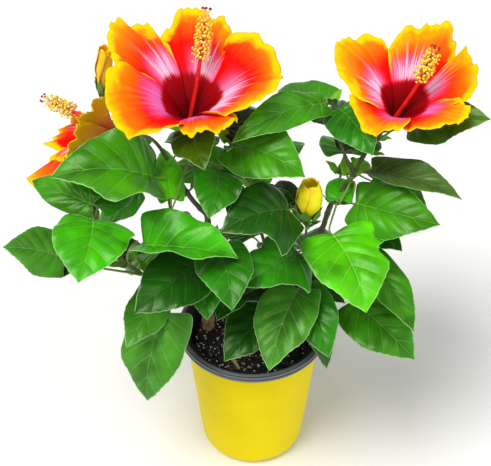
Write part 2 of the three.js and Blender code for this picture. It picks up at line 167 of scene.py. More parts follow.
def grid(name, across, along):
    """A flat grid. Gives it with each vertex's column and row."""
    bpy.ops.object.select_all(action="DESELECT")
    bpy.ops.mesh.primitive_grid_add(x_subdivisions=across, y_subdivisions=along, size=2)
    obj = bpy.context.object
    obj.name = name
    places = coords(obj)
    column = np.rint((places[:, 0] + 1) / 2 * across).astype(int)
    row = np.rint((places[:, 1] + 1) / 2 * along).astype(int)
    return obj, column, row


def face_corners(obj, values):
    """The lowest and highest of a vertex value round each face of a grid."""
    corners = np.empty(4 * len(obj.data.polygons), dtype=int)
    obj.data.polygons.foreach_get("vertices", corners)
    picked = values[corners.reshape(-1, 4)]
    return picked.min(axis=1), picked.max(axis=1)


def smooth(obj, angle=None):
    """Shades an object smooth, all over or up to an angle in degrees between faces."""
    only(obj)
    if angle is None:
        bpy.ops.object.shade_smooth()
    else:
        bpy.ops.object.shade_smooth_by_angle(angle=math.radians(angle))
    return obj


def thicken(obj, thickness, under=0, rim=0):
    """Gives a sheet its thickness below, with the finishes of its underside and rim."""
    solid = obj.modifiers.new("Thickness", "SOLIDIFY")
    solid.thickness = thickness
    solid.offset = -1
    solid.material_offset = under
    solid.material_offset_rim = rim
    return apply_modifiers(obj)


def recalculate(obj):
    """Merges doubles and turns all faces outwards."""
    only(obj)
    bpy.ops.object.mode_set(mode="EDIT")
    bpy.ops.mesh.select_all(action="SELECT")
    bpy.ops.mesh.remove_doubles(threshold=1e-6)
    bpy.ops.mesh.normals_make_consistent(inside=False)
    bpy.ops.object.mode_set(mode="OBJECT")
    return obj


def give(obj, *materials):
    """The finishes of an object, in slot order."""
    obj.data.materials.clear()
    for material in materials:
        obj.data.materials.append(material)
    return obj


def finish_piece(obj, slot, *nodes):
    """Tells the frame what a piece rides on and stands for. slot, the finish it is meant as, is not
    used.
    """
    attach(obj, "root")
    if nodes:
        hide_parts(*nodes)
    return obj


def box_corners(node):
    """The lowest and highest corner of a solid's box."""
    return [np.array(corner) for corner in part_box(node)]


def in_box(node, shares):
    """The place inside a solid's box that three shares give."""
    low, high = box_corners(node)
    return low + np.array(shares) * (high - low)


def unit(vector):
    """A vector of length one in the same direction."""
    return vector / max(np.linalg.norm(vector), 1e-9)


def turned(vector, axis, angle):
    """A vector turned about an axis by an angle in radians."""
    return np.array(Matrix.Rotation(angle, 3, Vector(axis)) @ Vector(vector))


def rise(low, high, value):
    """0 below low, 1 above high and a soft step between them."""
    share = np.clip((value - low) / (high - low), 0, 1)
    return share * share * (3 - 2 * share)


def smooth_path(points, count):
    """Places along a smooth curve through the points, evenly spaced."""
    points = [np.array(p, dtype=float) for p in points]
    ends = [2 * points[0] - points[1]] + points + [2 * points[-1] - points[-2]]
    fine = []
    for k in range(1, len(ends) - 2):
        a, b, c, d = ends[k - 1:k + 3]
        for t in np.linspace(0, 1, 12, endpoint=False):
            fine.append(0.5 * (2 * b + (c - a) * t + (2 * a - 5 * b + 4 * c - d) * t ** 2
                               + (3 * b - a - 3 * c + d) * t ** 3))
    fine = np.array(fine + [points[-1]])
    lengths = np.r_[0, np.cumsum(np.linalg.norm(np.diff(fine, axis=0), axis=1))]
    marks = np.linspace(0, lengths[-1], count)
    return np.stack([np.interp(marks, lengths, fine[:, axis]) for axis in range(3)], axis=1)


def rods(name, routes, resolution):
    """One mesh of tapering rods. A route is its places and its radii."""
    curve = bpy.data.curves.new(name, "CURVE")
    curve.dimensions = "3D"
    curve.bevel_depth = 1
    curve.bevel_resolution = resolution
    curve.use_fill_caps = True
    for places, radii in routes:
        spline = curve.splines.new("POLY")
        spline.points.add(len(places) - 1)
        for point, place, radius in zip(spline.points, places, radii):
            point.co = (*place, 1)
            point.radius = radius
    obj = bpy.data.objects.new(name, curve)
    bpy.context.collection.objects.link(obj)
    only(obj)
    bpy.ops.object.convert(target="MESH")
    return smooth(bpy.context.object)


# ---- finishes -------------------------------------------------------------------------------------
MIX_FIRST, MIX_SECOND, MIX_RESULT = 6, 7, 2    # the colour sockets of a mix node


def sockets(group, given, made):
    """Adds named inputs and outputs to a shader node group."""
    for direction, names in (("INPUT", given), ("OUTPUT", made)):
        for name, kind in names.items():
            group.interface.new_socket(name, in_out=direction, socket_type="NodeSocket" + kind)
    return group.nodes.new("NodeGroupInput"), group.nodes.new("NodeGroupOutput")


def cloud_in(group, scale, detail):
    """Noise over the places of a piece, inside a node group."""
    cloud = group.nodes.new("ShaderNodeTexNoise")
    cloud.inputs["Detail"].default_value = detail
    where = group.nodes.new("ShaderNodeTexCoord")
    group.links.new(where.outputs["Object"], cloud.inputs["Vector"])
    group.links.new(scale, cloud.inputs["Scale"])
    return cloud.outputs["Fac"]


def span_in(group, value, low, high):
    """A node that runs from 0 at low to 1 at high, inside a node group."""
    span = group.nodes.new("ShaderNodeMapRange")
    span.inputs["From Min"].default_value = low
    span.inputs["From Max"].default_value = high
    group.links.new(value, span.inputs["Value"])
    return span


def drift_group():
    """Soft light and dark drifts over a colour, as on anything that grew."""
    group = bpy.data.node_groups.new("Colour drift", "ShaderNodeTree")
    given, out = sockets(group, {"Color": "Color", "Light": "Color", "Dark": "Color",
                                 "Scale": "Float"}, {"Color": "Color"})
    cloud = cloud_in(group, given.outputs["Scale"], 3)
    last = given.outputs["Color"]
    for name, low, high in (("Light", 0.52, 0.68), ("Dark", 0.48, 0.34)):
        blend = group.nodes.new("ShaderNodeMix")
        blend.data_type = "RGBA"
        span = span_in(group, cloud, low, high)
        group.links.new(span.outputs["Result"], blend.inputs["Factor"])
        group.links.new(last, blend.inputs[MIX_FIRST])
        group.links.new(given.outputs[name], blend.inputs[MIX_SECOND])
        last = blend.outputs[MIX_RESULT]
    group.links.new(last, out.inputs["Color"])
    return group


def grain_group():
    """Fine grain: a height for bump and a value for roughness."""
    group = bpy.data.node_groups.new("Fine grain", "ShaderNodeTree")
    given, out = sockets(group, {"Scale": "Float", "Low": "Float", "High": "Float"},
                         {"Height": "Float", "Roughness": "Float"})
    cloud = cloud_in(group, given.outputs["Scale"], 4)
    span = span_in(group, cloud, 0.3, 0.7)
    group.links.new(given.outputs["Low"], span.inputs["To Min"])
    group.links.new(given.outputs["High"], span.inputs["To Max"])
    group.links.new(cloud, out.inputs["Height"])
    group.links.new(span.outputs["Result"], out.inputs["Roughness"])
    return group


def scaled(color, factor):
    """A colour made lighter or darker, with its alpha."""
    return tuple(min(1, max(0, c * factor)) for c in tuple(color)[:3]) + (1,)


class Finish:
    """A material put together round one Principled shader."""

    def __init__(self, name):
        self.material = bpy.data.materials.new(name)
        self.material.use_nodes = True
        self.nodes = self.material.node_tree.nodes
        self.links = self.material.node_tree.links
        self.shader = self.nodes["Principled BSDF"]

    def add(self, kind, **values):
        node = self.nodes.new(kind)
        for key, value in values.items():
            setattr(node, key, value)
        return node

    def set(self, **values):
        """Sets the shader's own sockets."""
        for key, value in values.items():
            self.shader.inputs[key.replace("_", " ")].default_value = value
        return self

    def group(self, name, make, **values):
        """Places a node group, which is made the first time, with its values."""
        tree = bpy.data.node_groups.get(name) or make()
        node = self.add("ShaderNodeGroup", node_tree=tree)
        for key, value in values.items():
            node.inputs[key].default_value = value
        return node

    def drift(self, color, light, dark, scale):
        """A colour that drifts between so many times lighter and darker, as a socket."""
        node = self.group("Colour drift", drift_group, Color=scaled(color, 1),
                          Light=scaled(color, light), Dark=scaled(color, dark), Scale=scale)
        return node.outputs["Color"]

    def grain(self, scale, low, high, strength, distance):
        """Fine grain in the bump, with the roughness between low and high."""
        node = self.group("Fine grain", grain_group, Scale=scale, Low=low, High=high)
        self.bump(node.outputs["Height"], strength, distance)
        self.links.new(node.outputs["Roughness"], self.shader.inputs["Roughness"])

    def bump(self, height, strength, distance):
        bump = self.add("ShaderNodeBump")
        bump.inputs["Strength"].default_value = strength
        bump.inputs["Distance"].default_value = distance
        self.links.new(height, bump.inputs["Height"])
        self.links.new(bump.outputs["Normal"], self.shader.inputs["Normal"])

    def noise(self, vector, scale, detail, roughness=0.5):
        cloud = self.add("ShaderNodeTexNoise")
        cloud.inputs["Scale"].default_value = scale
        cloud.inputs["Detail"].default_value = detail
        cloud.inputs["Roughness"].default_value = roughness
        self.links.new(vector, cloud.inputs["Vector"])
        return cloud.outputs["Fac"]

    def color(self, socket):
        self.links.new(socket, self.shader.inputs["Base Color"])

    def mix(self, first, second, factor):
        """Mixes two colours, each a socket or a plain colour."""
        node = self.add("ShaderNodeMix", data_type="RGBA")
        for value, slot in ((first, MIX_FIRST), (second, MIX_SECOND)):
            if isinstance(value, tuple):
                node.inputs[slot].default_value = scaled(value, 1)
            else:
                self.links.new(value, node.inputs[slot])
        self.links.new(factor, node.inputs[0])
        return node.outputs[MIX_RESULT]

    def math(self, operation, *values):
        node = self.add("ShaderNodeMath", operation=operation)
        for k, value in enumerate(values):
            if isinstance(value, (int, float)):
                node.inputs[k].default_value = value
            else:
                self.links.new(value, node.inputs[k])
        return node.outputs[0]

    def plus(self, first, second):
        return self.math("ADD", first, second)

    def times(self, first, second):
        return self.math("MULTIPLY", first, second)

    def swing(self, value, middle, size):
        """How far a value is from its middle, made larger or smaller."""
        return self.times(self.math("SUBTRACT", value, middle), size)

    def distance(self, value, middle):
        return self.math("ABSOLUTE", self.math("SUBTRACT", value, middle))

    def split(self, vector):
        """The X, Y and Z of a vector."""
        node = self.add("ShaderNodeSeparateXYZ")
        self.links.new(vector, node.inputs["Vector"])
        return [node.outputs[axis] for axis in "XYZ"]

    def place(self):
        """The X, Y and Z of a place in the frame."""
        return self.split(self.add("ShaderNodeTexCoord").outputs["Object"])

    def ramp(self, value, tones):
        """The colour at a value between 0 and 1 in a list of positions and colours."""
        zones = self.add("ShaderNodeValToRGB")
        marks = zones.color_ramp.elements
        for mark, (position, color) in zip(marks, (tones[0], tones[-1])):
            mark.position = position
            mark.color = scaled(color, 1)
        for position, color in tones[1:-1]:
            marks.new(position).color = scaled(color, 1)
        self.links.new(value, zones.inputs["Fac"])
        return zones.outputs["Color"]

    def span(self, value, low, high):
        """0 at low and 1 at high, with a soft step between them."""
        node = self.add("ShaderNodeMapRange", interpolation_type="SMOOTHSTEP")
        node.inputs["From Min"].default_value = low
        node.inputs["From Max"].default_value = high
        self.links.new(value, node.inputs["Value"])
        return node.outputs["Result"]


def grown_finish(name, color, light, dark, scale, rough, grain=(900, 0.15, 0.0005), **values):
    """A colour that drifts lighter and darker, with fine grain.

    rough is the lowest and highest roughness, and grain its scale, strength and height."""
    made = Finish(name)
    made.color(made.drift(color, light, dark, scale))
    made.grain(grain[0], *rough, *grain[1:])
    return made.set(**values).material


FIRST_NEAR_PETAL = 3    # a bloom's last two petals lie nearest, with fewer pale streaks
STREAKS_ON_NEAR = 0.15
EYE_EDGE = (0.32, 0.37)    # reach along a petal over which the dark eye ends


def streaks_round_eye(made, color, settings, along, across, petal_at, streak, feather):
    """A pink glow just beyond the eye, with pale threads drawn out through it."""
    lee = made.distance(across, 0.66)
    inmost = made.plus(along, made.times(feather, 0.35))
    glow = made.times(made.span(inmost, *EYE_EDGE), made.span(along, 0.64, 0.38))
    glow = made.times(glow, made.span(lee, 0.42, 0.12))
    far = made.span(petal_at, FIRST_NEAR_PETAL + 0.02, FIRST_NEAR_PETAL - 0.02)
    kept = made.plus(STREAKS_ON_NEAR, made.times(far, 1 - STREAKS_ON_NEAR))
    band = made.times(made.span(inmost, 0.30, 0.37), made.span(along, 0.80, 0.42))
    threads = made.span(made.plus(streak, made.times(glow, 0.12)), 0.54, 0.62)
    pale = made.times(made.times(band, threads), made.times(made.span(lee, 0.34, 0.10), kept))
    haze = made.times(made.times(glow, far), 0.25)
    color = made.mix(color, tuple(settings.flush), glow)
    return made.mix(color, tuple(settings.halo), made.math("MAXIMUM", pale, haze))


def petal_margin(made, place, along, across, wander, feather):
    """A mask of the ruffled margin: its tip all along, and the side that lies on top."""
    tipward = made.split(made.add("ShaderNodeUVMap", uv_map="Rim").outputs["UV"])[1]
    sideward = made.plus(made.times(made.math("SUBTRACT", 1.0, across), 0.42),
                         made.times(made.span(along, 0.80, 0.40), 0.24))
    edge = made.plus(made.math("MINIMUM", tipward, sideward), made.times(wander, 0.55))
    edge = made.plus(edge, made.times(feather, 0.35))
    edge = made.plus(edge, made.swing(made.noise(place, 9.0, 4.0, 0.6), 0.5, 0.16))
    return made.times(made.span(edge, 0.14, 0.03), made.span(along, 0.36, 0.62))


def petal_finish(name, tones, settings, inner=True, warmth=0.0):
    """Colour zones from the dark eye to the ruffled margin, drawn out in streaks."""
    made = Finish(name)
    place = made.add("ShaderNodeUVMap", uv_map="Petal").outputs["UV"]
    petal_at, along, _ = made.split(place)
    across = made.math("FRACT", petal_at)
    stretch = made.add("ShaderNodeMapping")
    stretch.inputs["Scale"].default_value = (46.0, 1.1, 1.0)
    made.links.new(place, stretch.inputs["Vector"])
    streak = made.noise(stretch.outputs["Vector"], 1.0, 5.0, 0.62)
    wander = made.swing(made.noise(place, 2.3, 2.0), 0.5, 0.42)
    feather = made.swing(streak, 0.5, 0.22)
    drawn = made.plus(made.plus(wander, feather), made.swing(across, 0.42, 0.22))
    drawn = made.times(made.plus(drawn, warmth), made.span(along, 0.22, 0.55))
    color = made.ramp(made.plus(along, drawn), tones)
    if inner:
        color = streaks_round_eye(made, color, settings, along, across, petal_at, streak, feather)
    margin = petal_margin(made, place, along, across, wander, feather)
    made.color(made.mix(color, tuple(settings.margin), margin))
    made.bump(streak, 0.35, 0.0014)
    made.set(Roughness=0.6, Specular_IOR_Level=0.06)
    return made.material


# ---- limbs ----------------------------------------------------------------------------------------
# Each limb and the one it grows from. The two stems grow from the mix.
STEMS = ("left_stem", "right_stem")
PARENTS = {
    "left_bough": "left_stem", "low_left_bough": "left_stem", "front_bough": "left_stem",
    "slanting_bough": "left_stem", "furled_bough": "slanting_bough",
    "middle_bough": "left_stem", "right_inner_bough": "right_stem", "bud_bough": "right_stem",
    "low_front_bough": "right_stem", "low_right_bough": "right_stem",
    "back_left_bough": "left_stem", "back_bough": "right_stem",
    "upper_back_bough": "left_stem", "upper_back_right_bough": "right_stem",
    "back_right_bough": "right_stem",
}
RING_GAP = 0.006    # rings of a limb's solid lie further apart than this
PLACE_GAP = 0.0025    # places along a limb's middle line, about this far apart
NODE_GAP = 0.024    # leaf nodes along a limb
BARK_RING_GAP = 0.021    # rings in the bark of a stem
WOODY_TO = (0.19, 0.33)    # heights between which the bark turns from woody to green
SPINES = {}


def mesh_points(node):
    """The corner points of a solid of the frame, each once."""
    return np.unique(np.round(coords(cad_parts[node]), 4), axis=0)


def spine(name):
    """The middle line of a limb's solid from its foot to its tip, and its radius along it."""
    if name in SPINES:
        return SPINES[name]
    points = mesh_points(name)
    centre = points.mean(axis=0)
    axis = np.linalg.svd(points - centre, full_matrices=False)[2][0]
    far = (points - centre) @ axis
    if name in PARENTS:
        trunk = spine(PARENTS[name])[0]
        near = [np.linalg.norm(trunk - points[pick], axis=1).min() for pick in
                (far.argmin(), far.argmax())]
        axis = axis if near[0] < near[1] else -axis
    elif axis[2] < 0:
        axis = -axis
    far = (points - centre) @ axis
    order = np.argsort(far)
    breaks = np.flatnonzero(np.diff(far[order]) > RING_GAP) + 1
    rings = [points[ring] for ring in np.split(order, breaks) if len(ring) > 2]
    middles = [ring.mean(axis=0) for ring in rings]
    radii = [np.linalg.norm(ring - ring.mean(axis=0), axis=1).mean() for ring in rings]
    if name in PARENTS:
        middles[0] = trunk[np.linalg.norm(trunk - middles[0], axis=1).argmin()]
        radii[0] = radii[1]
    count = max(8, int(np.linalg.norm(middles[-1] - middles[0]) / PLACE_GAP))
    places = smooth_path(middles, count)
    marks = np.linspace(0, 1, len(radii))
    SPINES[name] = places, np.interp(np.linspace(0, 1, count), marks, radii)
    return SPINES[name]


def at_share(name, share):
    """A point of a limb at a share of its length, and the way the limb runs there."""
    places = spine(name)[0]
    k = min(len(places) - 2, int(share * (len(places) - 1)))
    return places[k], unit(places[k + 1] - places[k])


def roughen(obj, depth, scale, ridges=0.0):
    """Presses relief into a surface, drawn out upwards, with rings where ridges are asked for."""
    mesh = obj.data
    normals = np.empty(3 * len(mesh.vertices))
    mesh.vertices.foreach_get("normal", normals)
    places = coords(obj)
    moved = []
    for place, normal in zip(places, normals.reshape(-1, 3)):
        spot = Vector((place[0] * scale, place[1] * scale, place[2] * scale * 0.35))
        height = noise.noise(spot) + 0.5 * noise.noise(spot * 2.3)
        ring = math.exp(-((place[2] / BARK_RING_GAP) % 1.0 - 0.5) ** 2 / 0.008) * ridges
        moved.append(place + normal * depth * (height + ring))
    set_coords(obj, np.array(moved))


class ShrubLimbSettings(bpy.types.PropertyGroup):
    bark: color_setting("Bark", "Colour of the woody stems", tone(184, 146, 108))
    green: color_setting("Green bark", "Colour of the young boughs", tone(74, 84, 40))
    relief: length_setting("Relief", "Depth of the bark's relief", 0.0005, 0, 0.003)
    swelling: share_setting("Nodes", "How far a limb swells where a leaf sits", 0.22, 1)


def limb_route(name, swelling):
    """A limb's places and radii, swollen at its leaf nodes."""
    places, radii = spine(name)
    steps = np.r_[0, np.cumsum(np.linalg.norm(np.diff(places, axis=0), axis=1))]
    nodes = np.exp(-(((steps / NODE_GAP) % 1.0 - 0.5) / 0.11) ** 2)
    slim = 1 - 0.3 * np.linspace(0, 1, len(radii)) ** 0.6
    radii = radii * slim * (0.96 + swelling * nodes)
    radii[-1] *= 0.6
    return places, radii


def stem_finish(settings):
    """Grey-brown bark at the foot that turns to green-brown higher up."""
    made = Finish("Stem bark")
    woody = made.drift(settings.bark, 1.4, 0.45, 170)
    fresh = made.drift(settings.green, 1.3, 0.5, 140)
    made.color(made.mix(woody, fresh, made.span(made.place()[2], *WOODY_TO)))
    made.grain(1400, 0.6, 0.8, 0.45, 0.0012)
    return made.material


class SHRUB_OT_limbs(bpy.types.Operator):
    """Builds the two woody stems and the green boughs that grow from them"""
    bl_idname = "shrub.limbs"
    bl_label = "Stems and Boughs"

    def execute(self, context):
        settings = context.scene.shrub_limbs
        bark = stem_finish(settings)
        green = grown_finish("Green bark", settings.green, 1.25, 0.62, 120, (0.42, 0.58),
                             (1600, 0.25, 0.0006))
        for name in STEMS:
            stem = rods(name + "_bark", [limb_route(name, settings.swelling)], 5)
            roughen(stem, settings.relief, 420, 0.4)
            finish_piece(give(stem, bark), "bark", name)
        boughs = rods("boughs", [limb_route(name, settings.swelling) for name in PARENTS], 3)
        roughen(boughs, settings.relief * 0.4, 500)
        finish_piece(give(boughs, green), "green_bark", *PARENTS)
        return {"FINISHED"}


# ---- leaves ---------------------------------------------------------------------------------------
VEINS = (0.09, 0.25, 0.42, 0.58, 0.73, 0.87)    # where side veins leave the midrib
STRIPS = (0.0, None, 0.2, 0.42, 0.64, 0.84, None, 1.0)    # None: beside the midrib, and the rim
BLADE, VEIN, RIM = range(3)
FIRST_LINE, TIP_LINE, LAST_LINE = 0.012, 0.975, 0.996    # shares of a blade's length
RIB_WIDTH, VEIN_WIDTH, RIM_WIDTH = 0.0105, 0.0038, 0.0066    # of a blade one unit wide
STALK_PLACES = 14

TINTS = {    # blade and vein
    "vivid": (tone(58, 165, 4), tone(112, 192, 56)),
    "bright": (tone(78, 188, 4), tone(130, 208, 60)),
    "fresh": (tone(60, 140, 10), tone(112, 176, 62)),
    "mid": (tone(38, 122, 8), tone(90, 156, 54)),
    "soft": (tone(66, 136, 32), tone(124, 174, 88)),
    "deep": (tone(22, 80, 4), tone(66, 120, 34)),
    # Painted shade: a darker copy of the leaf green, for leaves that sit in shade behind others.
    "dark": (tone(14, 48, 4), tone(44, 84, 24)),
    "olive": (tone(60, 100, 4), tone(108, 138, 44)),
    "grey": (tone(72, 108, 40), tone(126, 152, 92)),
    "young": (tone(104, 170, 24), tone(150, 200, 80)),
}


class ShrubLeafSettings(bpy.types.PropertyGroup):
    thickness: length_setting("Thickness", "Thickness of a blade", 0.0005, 0.0001, 0.003)
    stalk: length_setting("Stalk radius", "Radius of a leaf stalk", 0.00115, 0.0003, 0.003)
    quilting: share_setting(
        "Quilting", "How far a blade puffs up between its veins, as a share of its width", 0.026,
        0.1)
    waves: share_setting(
        "Waves", "Height of the waves in a blade's margin, as a share of its width", 0.075, 0.3)
    teeth: share_setting(
        "Teeth", "Reach of the teeth on the margin, as a share of the width", 0.008, 0.1)
    gloss: share_setting("Roughness", "Roughness of a blade's upper face", 0.3, 1)
    stalk_color: color_setting("Stalk", "Colour of the leaf stalks", tone(112, 142, 58))
    under_color: color_setting("Underside", "Colour of the blades' undersides", tone(86, 130, 62))


def blade_lines():
    """Lines across half a blade from its foot to its tip: [share, vein side, puff, tooth]."""
    lines = [(FIRST_LINE, 0, 0, 0)]
    last = FIRST_LINE
    for vein in VEINS:
        step = (vein - last) / 4
        lines += [(last + step * k, 0, puff, tooth) for k, puff, tooth in
                  ((1, 0.75, 0), (2, 1, 1), (3, 0.75, 0))]
        lines += [(vein, -1, 0, 0.6), (vein, 1, 0, 0.6)]
        last = vein
    step = (TIP_LINE - last) / 3
    lines += [(last + step, 0, 0.6, 0), (last + 2 * step, 0, 0.4, 0), (TIP_LINE, 0, 0.1, 0),
              (LAST_LINE, 0, 0, 0)]
    return np.array(lines)


def blade_point(share, strip, tooth):
    """Where a line crosses a strip of half a blade that is one unit long and one wide.

    The rim's height falls back near the stalk, which gives the blade its heart-shaped foot."""
    breadth = 0.5 * np.sin(np.pi * share ** 0.73) ** 0.70 * (1 - 0.26 * rise(0.5, 1, share))
    breadth = breadth * (1 - 0.5 * rise(0.90, 1, share))
    height = share ** 2 + (share - share ** 2) * rise(0, 0.6, share)
    height = height - 0.085 * np.sin(np.pi * np.minimum(share / 0.24, 1))
    reach = tooth * rise(0.22, 0.42, share) * rise(1.0, 0.9, share)
    breadth = breadth + reach
    height = height + 0.8 * reach
    inner = np.minimum(RIB_WIDTH * (1 - 0.7 * share), 0.3 * breadth)
    rim = np.maximum(breadth - RIM_WIDTH, 0.8 * breadth)
    x = {0: 0 * breadth, 1: inner, 6: rim, 7: breadth}.get(
        strip, inner + (rim - inner) * (STRIPS[strip] or 0))
    foot = share ** 2.5
    return x, foot + (height - foot) * (x / breadth) ** 1.1


def model_blade(settings):
    """The flat blade that every leaf is bent from, with the place of each vertex on it."""
    lines = blade_lines()
    half = len(STRIPS) - 1
    obj, column, row = grid("blade", 2 * half, len(lines) - 1)
    strip = np.abs(column - half)
    side = np.sign(column - half)
    flat = np.zeros((len(row), 3))
    for k in range(len(row)):
        share, edge, _, tooth = lines[row[k]]
        x, y = blade_point(share, strip[k], tooth * settings.teeth)
        if edge:
            near = np.array(blade_point(share, max(0, strip[k] - 1), 0))
            far = np.array(blade_point(share, min(half, max(1, strip[k] + 1)), 0))
            run = unit(far - near)
            width = VEIN_WIDTH * (1 - 0.8 * strip[k] / half)
            x, y = np.array([x, y]) + edge * width * np.array([-run[1], run[0]])
            x = 0 if strip[k] == 0 else x
        flat[k, :2] = side[k] * max(x, 0) if strip[k] else 0, y
    puff = lines[row, 2] * np.sin(np.pi * np.clip(strip / (half - 0.6), 0, 1)) ** 0.7
    set_coords(obj, flat)
    low_row, high_row = face_corners(obj, row)
    low_strip, high_strip = face_corners(obj, strip)
    on_vein = (lines[low_row, 1] == -1) & (lines[high_row, 1] == 1)
    index = np.where(on_vein | (high_strip == 1), VEIN, BLADE)
    index = np.where(low_strip == half - 1, RIM, index)
    give(obj, *[None] * 6)    # blade, vein and rim, over and under
    obj.data.polygons.foreach_set("material_index", index.astype(np.int32))
    return smooth(obj), flat, puff, lines[row, 0], side


def lobed(x, y, share, side, lobes):
    """The blade's outline with lobes pushed out of it: [side, share of length, size]."""
    for lobe_side, lobe_at, size in lobes:
        push = size * np.exp(-((share - lobe_at) / 0.1) ** 2) * (side == lobe_side)
        push = push * (np.abs(x) / 0.5) ** 2
        x = x + lobe_side * push
        y = y + 0.5 * push
    return x, y


def uneven(x, share, side, rng):
    """The blade's outline with four small swells and hollows, as no two leaves are alike."""
    for _ in range(4):
        swell_side, swell_at = rng.choice((-1, 1)), rng.uniform(0.15, 0.8)
        swell = rng.uniform(-0.03, 0.03) * np.exp(-((share - swell_at) / 0.08) ** 2)
        x = x + np.where(side == swell_side, side * swell * (np.abs(x) / 0.5) ** 2, 0)
    return x


def margin_waves(share, side, rng):
    """The height of the waves in each margin, long ones and short ones."""
    waves = 0
    for beats, height in ((1.25, 1.0), (2.7, 0.5)):
        first, second = rng.uniform(0, ROUND), rng.uniform(0, ROUND)
        start = np.where(side > 0, first, second)
        waves = waves + height * np.sin(start + 2 * math.pi * beats * share)
    return waves


def bend_blade(model, settings, rng, foot, tip, width, roll=0, fold=12, arch=0.07, lobes=(),
               curl=None, waves=1.0):
    """A leaf bent from the flat blade, from its foot to its tip."""
    master, flat, puff, share, side = model
    obj = copy_of(master)
    x, y = lobed(flat[:, 0].copy(), flat[:, 1].copy(), share, side, lobes)
    length = np.linalg.norm(tip - foot)
    along = (tip - foot) / length
    top = turned(unit(UP - along * along[2]), along, math.radians(roll))
    level = np.cross(along, top)
    out = np.abs(x) * 2
    lift = math.radians(fold + rng.uniform(-3, 3))
    curl = rng.uniform(0.12, 0.4) if curl is None else curl
    sweep = rng.uniform(-0.05, 0.05)
    twist = math.radians(rng.uniform(-10, 10)) * (y - 0.2)
    z = np.abs(x) * width * math.sin(lift) - 0.10 * width * out ** 2.2
    z = z + puff * width * settings.quilting
    x = uneven(x, share, side, rng) * width * math.cos(lift)
    z = z + waves * settings.waves * width * margin_waves(share, side, rng) * out ** 2
    x, z = x * np.cos(twist) - z * np.sin(twist), x * np.sin(twist) + z * np.cos(twist)
    x = x + sweep * length * y * (1 - y) * 4
    z = z + 4 * arch * length * y * (1 - y) - curl * length * np.maximum(0, y - 0.55) ** 2
    places = foot + np.outer(y * length, along) + np.outer(x, level) + np.outer(z, top)
    set_coords(obj, places)
    return thicken(obj, settings.thickness, 3)


def leaf_stalk(collar, heading, foot, tip, settings):
    """The route of a leaf's stalk from its collar into the blade's midrib."""
    along = unit(tip - foot)
    far = np.linalg.norm(foot - collar)
    leave = collar + unit(heading + unit(foot - collar)) * far * 0.3
    arrive = foot - along * far * 0.22 - UP * far * 0.04
    places = smooth_path([collar, leave, arrive, foot, foot + along * 0.006], STALK_PLACES)
    places[-2:] -= UP * 0.0004    # keeps the end of the stalk under the blade
    return places, np.linspace(1.15, 0.8, STALK_PLACES) * settings.stalk


